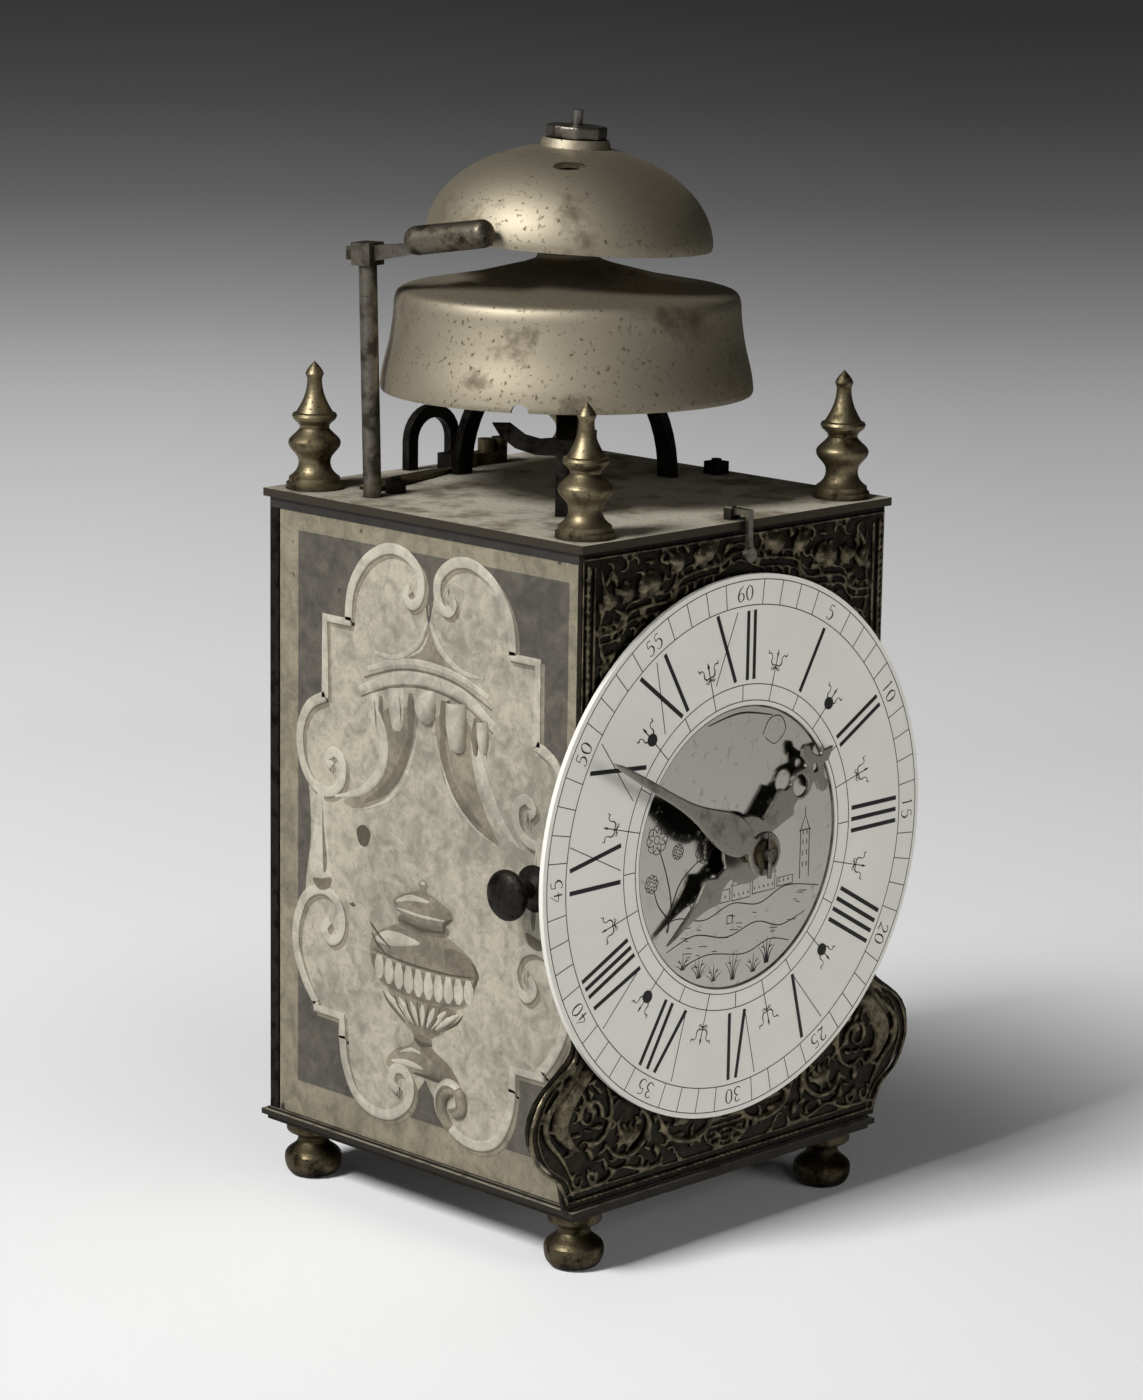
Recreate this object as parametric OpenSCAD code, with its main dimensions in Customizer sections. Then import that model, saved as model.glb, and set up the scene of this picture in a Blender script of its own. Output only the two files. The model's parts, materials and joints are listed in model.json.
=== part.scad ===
/* [Case] */
// Width of the case over the side doors
case_w = 131; // [128:0.5:136]
// Depth of the case, front plate to back plate
case_d = 134; // [132:0.5:140]
// Clear height between the bottom plate and the top plate
case_h = 194.5; // [190:0.5:210]
// Thickness of the top plate
top_plate_t = 2.5; // [2.2:0.1:4]
// Overhang of the top plate beyond the case
top_overhang = 1.5; // [1:0.1:3]
// Thickness of the moulded bottom plate
bottom_plate_t = 4; // [3.5:0.1:6]
// Overhang of the bottom plate beyond the case
bottom_overhang = 2; // [2:0.1:4]
// Thickness of the front plate
front_plate_t = 1.2; // [1:0.1:1.8]
// Thickness of the back plate and of its side flanges
back_plate_t = 1.5; // [1:0.1:1.8]
// Side of the square corner posts
post_side = 8; // [7:0.5:9]
// Distance from the side of the case to the post axes
post_inset_x = 10; // [9.5:0.1:11]
// Distance from the front and back of the case to the post axes
post_inset_y = 9; // [8.5:0.1:10]

/* [Front plate skirt] */
// Half width of the front plate at the widest point of its skirt
skirt_half_w = 84.3; // [83:0.1:90]
// Height of the widest point above the bottom plate
skirt_wide_h = 27; // [24:1:32]
// Height above the bottom plate where the skirt begins
skirt_top_h = 50; // [46:1:56]
// Half width of the skirt where it meets the bottom plate
skirt_foot_half_w = 69; // [68:0.1:72]

/* [Feet and finials] */
// Height of the bun feet
foot_h = 18; // [16:0.5:22]
// Radius of the feet at the bun
foot_r = 9; // [7.5:0.1:10]
// Radius of the feet at the neck
foot_neck_r = 4.8; // [4:0.1:5.5]
// Height of the finials
finial_h = 39; // [34:0.5:46]
// Radius of the finials at the bulb
finial_r = 8; // [6.5:0.1:9]
// Radius of the screws on the feet and finials
spigot_r = 2.5; // [2:0.1:3]
// Length of those screws inside the posts
spigot_l = 7; // [5:0.5:12]

/* [Dial] */
// Radius of the chapter ring
ring_r = 82.5; // [80:0.5:83]
// Radius of the round opening in the chapter ring
ring_hole_r = 43.2; // [40:0.1:48]
// Thickness of the chapter ring
ring_t = 1.6; // [1.2:0.1:2.4]
// Gap between the front plate and the chapter ring
ring_standoff = 1.4; // [1:0.1:2]
// Height of the dial centre above the bottom plate
dial_h = 98.5; // [96:0.5:104]
// Radius of the pins that hold the chapter ring
ring_pin_r = 1.9; // [1.5:0.1:2.4]
// Distance of the ring pins from the dial centre
ring_pin_reach = 54.6; // [52:0.1:58]

/* [Hands] */
// Length of the minute hand from the dial centre
minute_hand_l = 75; // [68:0.5:79]
// Length of the hour hand from the dial centre
hour_hand_l = 46; // [44:0.5:47]
// Length of the hour hand's tail
hour_tail_l = 42; // [38:0.5:44]
// Radius of the hour hand's boss
hour_boss_r = 10.5; // [9:0.1:12]
// Thickness of the hands
hand_t = 1.2; // [0.8:0.1:1.6]
// Time shown, in minutes after twelve
shown_minutes = 110; // [0:1:719]

/* [Side doors] */
// Thickness of the side doors
door_t = 2; // [1.5:0.1:2.2]
// Distance of the door knobs from the front of the case
knob_inset = 17; // [14:0.5:24]
// Height of the door knobs above the bottom plate
knob_h = 93.5; // [80:0.5:110]
// Radius of the door knobs
knob_r = 7.6; // [6:0.1:8.5]
// Reach of the door knobs from the door to the middle of the ball
knob_reach = 11.7; // [10:0.1:13]
// Radius of the pintles that the doors turn on
pintle_r = 0.7; // [0.5:0.05:0.8]

/* [Bells] */
// Radius of the lower bell at its rim
lower_bell_r = 56.8; // [55:0.1:57]
// Radius of the lower bell at its shoulder
lower_shoulder_r = 52.4; // [49:0.1:54]
// Height of the lower bell from rim to neck
lower_bell_h = 41.5; // [38:0.5:46]
// Height of the lower bell's rim above the top plate
lower_rim_h = 31.5; // [30:0.5:36]
// Radius of the upper bell at its rim
upper_bell_r = 43.5; // [40:0.5:44]
// Height of the upper bell from rim to crown
upper_bell_h = 28; // [26:0.5:31]
// Gap between the neck of the lower bell and the rim of the upper bell
bell_spacing = 3.5; // [2.5:0.1:6]
// Wall thickness of the bells
bell_t = 2.2; // [1.8:0.1:2.6]
// Offset of the bells from the middle of the case, to the left
bell_left = 1.7; // [0:0.1:2]
// Offset of the bells from the middle of the case, to the back
bell_back = 3.7; // [2:0.1:4]
// Lean of the upper bell and of the end of its post, in degrees
bell_lean = 3; // [0:0.5:4]
// Radius of the bell post
bell_post_r = 2.5; // [2:0.1:3]
// Distance of the bell stand's legs from the post, at the top plate
stand_r = 47; // [44:0.5:50]
// Width of the stand's legs
stand_leg_w = 6; // [5:0.5:8]
// Thickness of the stand's legs
stand_leg_t = 3; // [2.5:0.5:4]

/* [Strike hammer] */
// Distance of the hammer arbor from the left side of the case
hammer_inset_x = 12; // [11.5:0.1:12.2]
// Distance of the hammer arbor from the back of the case
hammer_inset_y = 33; // [32.5:0.1:34]
// Radius of the hammer arbor
hammer_arbor_r = 2.75; // [2:0.05:2.8]
// Lean of the hammer arbor to the back left, in degrees
hammer_lean = 1.4; // [1:0.1:1.8]
// Radius of the hammer head
hammer_head_r = 4.4; // [3.6:0.1:4.6]
// Length of the hammer head
hammer_head_l = 30.7; // [28:0.1:33]
// Length of the arm between the arbor's axis and the head
hammer_arm_l = 16; // [14:0.5:18]

/* [Movement] */
// Module of the great wheels' teeth
great_mod = 0.95; // [0.93:0.01:0.96]
// Module of the centre wheel's teeth
centre_mod = 0.6; // [0.59:0.005:0.61]
// Module of the third wheel's teeth
third_mod = 0.7; // [0.68:0.01:0.71]
// Module of the strike wheels' teeth
strike_mod = 0.66; // [0.65:0.01:0.67]
// Module of the minute wheel's teeth
motion_mod = 0.8; // [0.78:0.01:0.82]
// Radius of the escape wheel
escape_r = 14; // [13:0.1:14.5]
// Radius of the going and strike arbors
arbor_r = 1.6; // [1.3:0.05:1.65]
// Radius of the centre arbor
centre_arbor_r = 2; // [1.7:0.1:2.2]
// Width of the upright movement bars
bar_w = 12; // [10:0.5:14]
// Thickness of the upright movement bars
bar_t = 4; // [3.5:0.1:4.5]
// Length of the pendulum from its arbor to the middle of its bob
pendulum_l = 131; // [125:1:134]
// Radius of the pendulum bob
bob_r = 13; // [10:0.5:15]

/* [Hidden] */
$fn = 64;

iron = "#33312e";
steel = "#77746c";
brass = "#b39a63";
bronze = "#b7ab8c";
paint = "#a99f84";
patina = "#4a463d";
ivory = "#dedacb";

running_gap = 0.05;
clear_gap = 0.4;
cut = 1;

// Levels, measured up from the floor
floor_top = foot_h + bottom_plate_t;
ceiling = floor_top + case_h;
deck = ceiling + top_plate_t;
dial_z = floor_top + dial_h;

// Levels in front of the front plate, measured outwards from its face
ring_front = ring_standoff + ring_t;
centre_disc_front = ring_front - 0.6;
hour_level = ring_front + 2.4;
boss_t = 2;
minute_level = hour_level + 7;
minute_hub_r = 6.8;
collet_r = 4.5;
collet_t = 1;
arbor_front = minute_level + hand_t + collet_t + 1.8;

// The case stands so that the whole clock is centred over the origin
rear_reach = max(top_overhang, bottom_overhang);
case_y = (arbor_front - rear_reach) / 2;
side_x = case_w / 2;
face_y = -case_d / 2;
back_y = case_d / 2;
post_x = side_x - post_inset_x;
post_y = back_y - post_inset_y;

// Front faces of the movement bars
front_bar_y = face_y + 17;
middle_bar_y = -4;
rear_bar_y = back_y - 24;

module piece(tone) {
  color(tone) translate([0, case_y, 0]) children();
}

// An outline drawn upright, as seen from the front, between two depths
module upright(x, z, y_front, y_back) {
  translate([x, y_back, z]) rotate([90, 0, 0]) linear_extrude(y_back - y_front) children();
}

module rod_y(x, z, y_front, y_back, r) {
  translate([x, y_front, z]) rotate([-90, 0, 0]) cylinder(h = y_back - y_front, r = r);
}

module slab(w, d, z0, z1) {
  translate([-w / 2, -d / 2, z0]) cube([w, d, z1 - z0]);
}

module at_corners() {
  for (sx = [-1, 1], sy = [-1, 1]) translate([sx * post_x, sy * post_y, 0]) children();
}

// Points of a cubic curve after its first point
function curve(a, b, c, d, steps = 8) = [
  for (i = [1:steps])
    let (t = i / steps, s = 1 - t)
      s * s * s * a + 3 * s * s * t * b + 3 * s * t * t * c + t * t * t * d
];

function oval(a, b, from, to, steps = 14) = [
  for (i = [0:steps])
    let (t = from + (to - from) * i / steps) [a * cos(t), b * sin(t)]
];

function reversed(points) = [for (i = [len(points) - 1:-1:0]) points[i]];
function mirrored(points) = [for (p = reversed(points)) [-p.x, p.y]];

// Case

rope_hole_r = 4;
hinge_inset_y = 6;
hinge_x = side_x - door_t / 2;
hinge_y = back_y - hinge_inset_y;
pintle_l = 1.6;
hammer_x = -side_x + hammer_inset_x;
hammer_y = back_y - hammer_inset_y;
hammer_pivot_r = 1.5;
hammer_pivot_l = 2;
plate_bevel = 1.4;

// The arbor's own axis, which starts at the top plate and leans over to the back left
module on_hammer_axis() {
  translate([hammer_x, hammer_y, deck]) rotate(a = hammer_lean, v = [-1, -1, 0]) children();
}

module screw_holes(z0, z1) {
  at_corners() translate([0, 0, z0]) cylinder(h = z1 - z0, r = spigot_r);
}

module pintle_holes(z0) {
  for (sx = [-1, 1])
    translate([sx * hinge_x, hinge_y, z0])
      cylinder(h = pintle_l + clear_gap, r = pintle_r + running_gap);
}

module bottom_plate() piece(iron) {
  w = case_w + 2 * bottom_overhang;
  d = case_d + 2 * bottom_overhang;
  difference() {
    union() {
      slab(w, d, foot_h + bottom_plate_t * 0.4, floor_top - plate_bevel / 2);
      slab(w - 2 * plate_bevel, d - 2 * plate_bevel, foot_h, floor_top);
    }
    screw_holes(foot_h - cut, floor_top + cut);
    pintle_holes(floor_top - pintle_l - clear_gap);
    on_hammer_axis() translate([0, 0, floor_top - deck - hammer_pivot_l - clear_gap])
      cylinder(h = hammer_pivot_l + 3 * clear_gap, r = hammer_pivot_r + running_gap);
    for (sx = [-1, 1], y = [going_rope_y, strike_rope_y])
      translate([sx * rope_x, y, foot_h - cut])
        cylinder(h = bottom_plate_t + 2 * cut, r = rope_hole_r);
  }
}

latch_w = 2;
latch_eye_r = 1.8;
latch_pin_r = 0.7;
latch_y = face_y + 3;
latch_z = deck + 2.2;
lug_t = 1;

module top_plate() piece(brass) {
  difference() {
    slab(case_w + 2 * top_overhang, case_d + 2 * top_overhang, ceiling, deck);
    screw_holes(ceiling - cut, deck + cut);
    pintle_holes(ceiling);
    on_hammer_axis() translate([0, 0, -top_plate_t - cut])
      cylinder(h = top_plate_t + 2 * cut, r = hammer_arbor_r + running_gap);
  }
  for (sx = [-1, 1])
    translate([sx * (latch_w / 2 + 0.2 + lug_t / 2) - lug_t / 2, latch_y - 1.4, deck])
      cube([lug_t, 2.8, latch_z - deck + 1.4]);
  translate([-latch_w / 2 - 0.2, latch_y, latch_z]) rotate([0, 90, 0])
    cylinder(h = latch_w + 0.4, r = latch_pin_r);
}

module corner_posts() piece(iron) {
  difference() {
    at_corners() slab(post_side, post_side, floor_top, ceiling);
    screw_holes(floor_top - cut, floor_top + spigot_l);
    screw_holes(ceiling - spigot_l, ceiling + cut);
  }
}

// Skirt outline from its top down to the bottom plate, on the right
skirt = let (
  top = [side_x, floor_top + skirt_top_h],
  wide = [skirt_half_w, floor_top + skirt_wide_h],
  foot = [skirt_foot_half_w + 1, floor_top + 4]
) concat(
  [top],
  curve(top, top + [1, -8], wide + [0, 13], wide),
  curve(wide, wide + [0, -11], foot + [1, 12], foot),
  [[skirt_foot_half_w, floor_top]]
);

hour_pipe_r = 3.4;

module front_plate() piece(patina) {
  corner = [[side_x, ceiling]];
  difference() {
    upright(0, 0, face_y, face_y + front_plate_t)
      polygon(concat(corner, skirt, mirrored(skirt), mirrored(corner)));
    rod_y(0, dial_z, face_y - cut, face_y + front_plate_t + cut, hour_pipe_r + 1);
    ring_pin_holes(face_y - cut, face_y + front_plate_t + cut);
  }
}

flange_d = 3.8;

module back_plate() piece(iron) {
  translate([-side_x, back_y - back_plate_t, floor_top]) cube([case_w, back_plate_t, case_h]);
  for (x = [-side_x, side_x - back_plate_t])
    translate([x, back_y - flange_d, floor_top]) cube([back_plate_t, flange_d, case_h]);
}

latch_drop = 12;
latch_drop_t = 1.2;
latch_button_r = 2.2;
latch_button_t = 1.8;

module front_latch() piece(steel) {
  drop_y = face_y - max(top_overhang, ring_front) - clear_gap;
  difference() {
    union() {
      translate([-latch_w / 2, latch_y, latch_z]) rotate([0, 90, 0])
        cylinder(h = latch_w, r = latch_eye_r);
      translate([-latch_w / 2, drop_y - latch_drop_t, latch_z - 0.4])
        cube([latch_w, latch_y - drop_y + latch_drop_t, latch_eye_r]);
      translate([-latch_w / 2, drop_y - latch_drop_t, latch_z - latch_drop])
        cube([latch_w, latch_drop_t, latch_drop + latch_eye_r - 0.4]);
      translate([0, drop_y - latch_button_t, latch_z - latch_drop]) rotate([-90, 0, 0])
        cylinder(h = latch_button_t, r = latch_button_r);
    }
    translate([-latch_w, latch_y, latch_z]) rotate([0, 90, 0])
      cylinder(h = 2 * latch_w, r = latch_pin_r + running_gap);
  }
}

// Feet and finials

module foot() {
  bun_z = foot_h * 0.33;
  neck_z = foot_h * 0.66;
  flange_z = foot_h * 0.84;
  flange_r = foot_r * 0.93;
  rotate_extrude() polygon(concat(
    [[0, 0], [foot_r * 0.5, 0]],
    curve([foot_r * 0.5, 0], [foot_r * 0.9, 0], [foot_r, bun_z * 0.5], [foot_r, bun_z]),
    curve([foot_r, bun_z], [foot_r, bun_z * 1.5], [foot_neck_r, bun_z * 1.5],
      [foot_neck_r, neck_z]),
    curve([foot_neck_r, neck_z], [foot_neck_r, flange_z * 0.9], [flange_r, flange_z * 0.9],
      [flange_r, flange_z]),
    [[flange_r, foot_h], [spigot_r, foot_h], [spigot_r, floor_top + spigot_l],
      [0, floor_top + spigot_l]]
  ));
}

module foot_at(sx, sy) piece(brass) {
  translate([sx * post_x, sy * post_y, 0]) foot();
}

module foot_front_left() foot_at(-1, -1);
module foot_front_right() foot_at(1, -1);
module foot_rear_left() foot_at(-1, 1);
module foot_rear_right() foot_at(1, 1);

module finial() {
  h = finial_h;
  r = finial_r;
  rotate_extrude() polygon(concat(
    [[0, -top_plate_t - spigot_l], [spigot_r, -top_plate_t - spigot_l], [spigot_r, 0],
      [r * 1.08, 0], [r * 1.08, h * 0.045], [r * 0.99, h * 0.06], [r * 0.97, h * 0.09]],
    curve([r * 0.97, h * 0.09], [r * 0.76, h * 0.12], [r * 0.61, h * 0.15], [r * 0.61, h * 0.21]),
    curve([r * 0.61, h * 0.21], [r * 0.62, h * 0.28], [r, h * 0.3], [r, h * 0.36]),
    curve([r, h * 0.36], [r, h * 0.4], [r * 0.74, h * 0.42], [r * 0.55, h * 0.475]),
    curve([r * 0.55, h * 0.475], [r * 0.54, h * 0.52], [r * 0.86, h * 0.53], [r * 0.86, h * 0.57], 4),
    [[r * 0.82, h * 0.59], [r * 0.7, h * 0.6]],
    curve([r * 0.7, h * 0.6], [r * 0.5, h * 0.67], [r * 0.28, h * 0.74], [r * 0.28, h * 0.86]),
    [[r * 0.35, h * 0.9]],
    curve([r * 0.35, h * 0.9], [r * 0.3, h * 0.94], [r * 0.12, h * 0.97], [0, h], 4)
  ));
}

module finial_at(sx, sy) piece(brass) {
  translate([sx * post_x, sy * post_y, deck]) finial();
}

module finial_front_left() finial_at(-1, -1);
module finial_front_right() finial_at(1, -1);
module finial_rear_left() finial_at(-1, 1);
module finial_rear_right() finial_at(1, 1);

// Dial

module ring_pin_holes(y_front, y_back, r = ring_pin_r) {
  for (a = [45:90:315])
    rod_y(ring_pin_reach * cos(a), dial_z + ring_pin_reach * sin(a), y_front, y_back, r);
}

module chapter_ring() piece(ivory) {
  difference() {
    rod_y(0, dial_z, face_y - ring_front, face_y - ring_standoff, ring_r, $fn = 180);
    rod_y(0, dial_z, face_y - ring_front - cut, face_y, ring_hole_r, $fn = 180);
    ring_pin_holes(face_y - ring_front - cut, face_y);
  }
}

module dial_centre() piece(steel) {
  difference() {
    rod_y(0, dial_z, face_y - centre_disc_front, face_y, ring_hole_r, $fn = 180);
    rod_y(0, dial_z, face_y - centre_disc_front - cut, face_y + cut, hour_pipe_r + 1);
  }
}

module ring_pins() piece(iron) {
  ring_pin_holes(face_y - ring_front - 0.3, face_y + front_plate_t + 0.8);
}

// Hands

minute_angle = 90 - 6 * (shown_minutes % 60);
hour_angle = 90 - shown_minutes / 2;

// An outline drawn along +X and turned to the hand's angle about the dial centre
module hand_outline(angle, level, t) {
  upright(0, dial_z, face_y - level - t, face_y - level) rotate(angle) children();
}

module centre_bore(r, level0, level1) {
  rod_y(0, dial_z, face_y - level1 - cut, face_y - level0 + cut, r);
}

module minute_hand() piece(iron) {
  half_w = 6;
  wide_at = 17;
  pipe_l = minute_level - hour_level - boss_t - clear_gap;
  blade = both_sides(concat(
    [[2, 0], [4, 2.6], [8, 2.8]],
    curve([8, 2.8], [9, 5], [12, half_w], [wide_at, half_w]),
    curve([wide_at, half_w], [25, half_w], [29, 1.7], [46, 1.5]),
    curve([46, 1.5], [56, 1.4], [66, 1.2], [minute_hand_l - 4, 0.8], 4),
    [[minute_hand_l, 0]]
  ));
  difference() {
    union() {
      hand_outline(minute_angle, minute_level, hand_t) union() {
        polygon(blade);
        circle(minute_hub_r);
      }
      rod_y(0, dial_z, face_y - minute_level, face_y - minute_level + pipe_l, hour_pipe_r);
    }
    centre_bore(centre_arbor_r, minute_level - pipe_l, minute_level + hand_t);
  }
}

module hand_collet() piece(brass) {
  front = minute_level + hand_t;
  difference() {
    rod_y(0, dial_z, face_y - front - collet_t, face_y - front, collet_r);
    centre_bore(centre_arbor_r, front, front + collet_t);
  }
}

taper_pin_r = 0.7;
taper_pin_l = 14;
taper_pin_y = face_y - arbor_front + taper_pin_r + 0.4;

module taper_pin() piece(steel) {
  translate([0, taper_pin_y, dial_z - taper_pin_l / 2]) cylinder(h = taper_pin_l, r = taper_pin_r);
}

// A half outline above the X axis, closed with its own mirror image
function both_sides(half) = concat(half, [for (p = reversed(half)) if (p.y > 0) [p.x, -p.y]]);

module hour_hand() piece(iron) {
  tip_l = hour_hand_l;
  outline = both_sides(concat(
    [[-hour_tail_l, 0]],
    curve([-hour_tail_l, 0], [-32, 1.2], [-24, 1.4], [-19, 4.9], 6),
    [[-17.6, 5.1], [-14.5, 2.4]],
    oval(hour_boss_r, hour_boss_r, 167, 16),
    [[21, 5.6], [22.5, 3.4]],
    [for (p = oval(4.8, 4.8, 140, 50, 5)) p + [28.6, 0]],
    [[32.6, 3.2], [34, 4], [33.4, 6.8], [34.6, 9], [36.6, 9.2], [38, 7.6], [37.6, 5.6],
      [38.6, 3], [40, 1.4], [41.4, 2.4], [tip_l, 0]]
  ));
  difference() {
    hand_outline(hour_angle, hour_level, hand_t) polygon(outline);
    centre_bore(hour_pipe_r, hour_level, hour_level + hand_t);
    translate([0, 0, dial_z]) rotate([0, -hour_angle, 0]) {
      translate([28.2, face_y, 0]) rotate([90, 0, 0]) cylinder(h = hour_level + hand_t + cut, r = 3.4);
      translate([36.2, face_y, 0]) rotate([90, 0, 0]) cylinder(h = hour_level + hand_t + cut, r = 1.3);
    }
  }
}

// Motion work behind the front plate

cannon_teeth = 12;
minute_wheel_teeth = 36;
minute_pinion_teeth = 10;
hour_teeth = 40;
motion_reach = (cannon_teeth + minute_wheel_teeth) * motion_mod / 2;
hour_mod = 2 * motion_reach / (minute_pinion_teeth + hour_teeth);
motion_angle = -60;
stud_x = motion_reach * cos(motion_angle);
stud_z = dial_z + motion_reach * sin(motion_angle);
stud_r = 1.2;
hour_wheel_y = face_y + front_plate_t + 2;
cannon_y = front_bar_y - 8;

// Outline of a toothed wheel with its first tooth at the given angle
module teeth(count, mod, first = 0, add = 0.8, ded = 1.1, root = 0.25, tip = 0.1) {
  pitch = 360 / count;
  inner = count * mod / 2 - ded * mod;
  outer = count * mod / 2 + add * mod;
  polygon([
    for (i = [0:count - 1], c = [[inner, -root], [outer, -tip], [outer, tip], [inner, root]])
      let (a = first + pitch * (i + c[1])) [c[0] * cos(a), c[0] * sin(a)]
  ]);
}

// A pinion has slimmer leaves, and a gap instead of a leaf at the given angle
module leaves(count, mod, gap) {
  teeth(count, mod, gap + 180 / count, add = 0.7, ded = 1.15, root = 0.2);
}

module spoked(count, mod, first, hub, spokes = 4, rim = 4) {
  inner = count * mod / 2 - rim * mod;
  difference() {
    teeth(count, mod, first);
    difference() {
      circle(inner);
      circle(hub);
      for (i = [0:spokes - 1])
        rotate(360 * i / spokes + 45) translate([0, -inner * 0.07]) square([inner + cut, inner * 0.14]);
    }
  }
}

module centre_arbor() piece(steel) {
  difference() {
    union() {
      rod_y(0, dial_z, face_y - arbor_front, middle_bar_y - clear_gap, centre_arbor_r);
      rod_y(0, dial_z, middle_bar_y - cut, middle_bar_y + bar_t - pivot_in - clear_gap, pivot_r);
      upright(0, dial_z, cannon_y, cannon_y + 4)
        leaves(cannon_teeth, motion_mod, motion_angle);
    }
    translate([0, taper_pin_y, dial_z - 2 * centre_arbor_r])
      cylinder(h = 4 * centre_arbor_r, r = taper_pin_r);
  }
}

module hour_wheel() piece(brass) {
  difference() {
    union() {
      upright(0, dial_z, hour_wheel_y, hour_wheel_y + 1.6)
        teeth(hour_teeth, hour_mod, motion_angle);
      rod_y(0, dial_z, face_y - hour_level - boss_t, hour_wheel_y + 1.6, hour_pipe_r);
    }
    rod_y(0, dial_z, face_y - hour_level - boss_t - cut, hour_wheel_y + 1.6 + cut,
      centre_arbor_r + running_gap);
  }
}

module minute_wheel() piece(brass) {
  wheel_y = cannon_y + 1;
  difference() {
    union() {
      upright(stud_x, stud_z, wheel_y, wheel_y + 2)
        teeth(minute_wheel_teeth, motion_mod, motion_angle + 180);
      upright(stud_x, stud_z, hour_wheel_y - 0.6, wheel_y)
        leaves(minute_pinion_teeth, hour_mod, motion_angle + 180);
    }
    rod_y(stud_x, stud_z, hour_wheel_y - cut - 1, wheel_y + 2 + cut, stud_r + running_gap);
  }
}

module minute_stud() piece(steel) {
  rod_y(stud_x, stud_z, hour_wheel_y - 1, front_bar_y, stud_r);
  rod_y(stud_x, stud_z, cannon_y + 3 + clear_gap, front_bar_y, stud_r + 1.5);
}

// Trains

pivot_r = 0.9;
pivot_in = 2.4;
centre_pinion_teeth = 8;
going_great_teeth = 64;
centre_teeth = 96;
third_pinion_teeth = 8;
third_teeth = 75;
escape_pinion_teeth = 6;
escape_teeth = 33;
strike_great_teeth = 78;
pin_pinion_teeth = 8;
pin_teeth = 70;
warning_pinion_teeth = 7;
warning_teeth = 54;
fly_pinion_teeth = 6;

function reach(n1, n2, mod) = (n1 + n2) * mod / 2;

going_great_z = dial_z - reach(going_great_teeth, centre_pinion_teeth, great_mod);
third_angle = 52.5;
third_reach = reach(centre_teeth, third_pinion_teeth, centre_mod);
third_x = third_reach * cos(third_angle);
third_z = dial_z + third_reach * sin(third_angle);
escape_reach = reach(third_teeth, escape_pinion_teeth, third_mod);
escape_z = third_z + sqrt(escape_reach * escape_reach - third_x * third_x);
escape_angle = atan2(escape_z - third_z, -third_x);
anchor_z = escape_z + 20;
strike_great_z = going_great_z - 8;
pin_z = strike_great_z + reach(strike_great_teeth, pin_pinion_teeth, great_mod);
warning_angle = 51;
warning_reach = reach(pin_teeth, warning_pinion_teeth, strike_mod);
warning_x = warning_reach * cos(warning_angle);
warning_z = pin_z + warning_reach * sin(warning_angle);
fly_reach = reach(warning_teeth, fly_pinion_teeth, strike_mod);
fly_z = warning_z + sqrt(fly_reach * fly_reach - warning_x * warning_x);
fly_angle = atan2(fly_z - warning_z, -warning_x);
detent_x = -30;
detent_z = strike_great_z + 72;

// Depths of the wheels between the bars
going_y0 = front_bar_y + bar_t;
strike_y0 = middle_bar_y + bar_t;
great_wheel_t = 3;
wheel_t = 1.8;
centre_wheel_y = going_y0 + 10;
centre_pinion_y = going_y0 + 16;
going_great_y = going_y0 + 22;
third_wheel_y = middle_bar_y - 7;
escape_wheel_y = going_y0 + 18;
strike_great_y = strike_y0 + 8;
pin_wheel_y = strike_y0 + 26;
warning_wheel_y = strike_y0 + 10;
fly_y = strike_y0 + 30;
count_wheel_y = rear_bar_y + bar_t + 1.4;

pulley_groove_r = 11;
pulley_r = 15;
pulley_l = 8;
rope_x = pulley_groove_r + 2;
going_rope_y = going_great_y + great_wheel_t + pulley_l / 2;
strike_rope_y = strike_great_y + great_wheel_t + pulley_l / 2;

// An arbor with its pivots in the bars in front of it and behind it
module arbor(x, z, y0, y1, r = arbor_r) {
  rod_y(x, z, y0 + clear_gap, y1 - clear_gap, r);
  rod_y(x, z, y0 - pivot_in, y1 + pivot_in, pivot_r);
}

module bar_struts(points, y0) {
  upright(0, 0, y0, y0 + bar_t) {
    translate([-bar_w / 2, floor_top]) square([bar_w, case_h]);
    for (p = points) {
      translate(p) circle(5);
      translate([min(0, p.x), p.y - 3.5]) square([abs(p.x), 7]);
    }
  }
}

module bar_holes(points, y0, r = pivot_r) {
  for (p = points) rod_y(p.x, p.y, y0 - cut, y0 + bar_t + cut, r + running_gap);
}

centre_axis = [0, dial_z];
great_axis = [0, going_great_z];
third_axis = [third_x, third_z];
escape_axis = [0, escape_z];
anchor_axis = [0, anchor_z];
strike_great_axis = [0, strike_great_z];
pin_axis = [0, pin_z];
warning_axis = [warning_x, warning_z];
fly_axis = [0, fly_z];
detent_axis = [detent_x, detent_z];
stud_axis = [stud_x, stud_z];

module front_bar() piece(steel) {
  difference() {
    bar_struts([third_axis, stud_axis], front_bar_y);
    bar_holes([centre_axis], front_bar_y, centre_arbor_r);
    bar_holes([great_axis, third_axis, escape_axis, anchor_axis], front_bar_y);
  }
}

module middle_bar() piece(steel) {
  difference() {
    bar_struts([third_axis, warning_axis, detent_axis], middle_bar_y);
    bar_holes([great_axis, third_axis, escape_axis, centre_axis], middle_bar_y);
    bar_holes([strike_great_axis, pin_axis, warning_axis, fly_axis, detent_axis], middle_bar_y);
    bar_holes([anchor_axis], middle_bar_y, arbor_r + 0.5);
  }
}

module rear_bar() piece(steel) {
  difference() {
    bar_struts([warning_axis, detent_axis], rear_bar_y);
    bar_holes([pin_axis, warning_axis, fly_axis], rear_bar_y);
    bar_holes([strike_great_axis, detent_axis, anchor_axis], rear_bar_y, arbor_r);
  }
}

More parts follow.
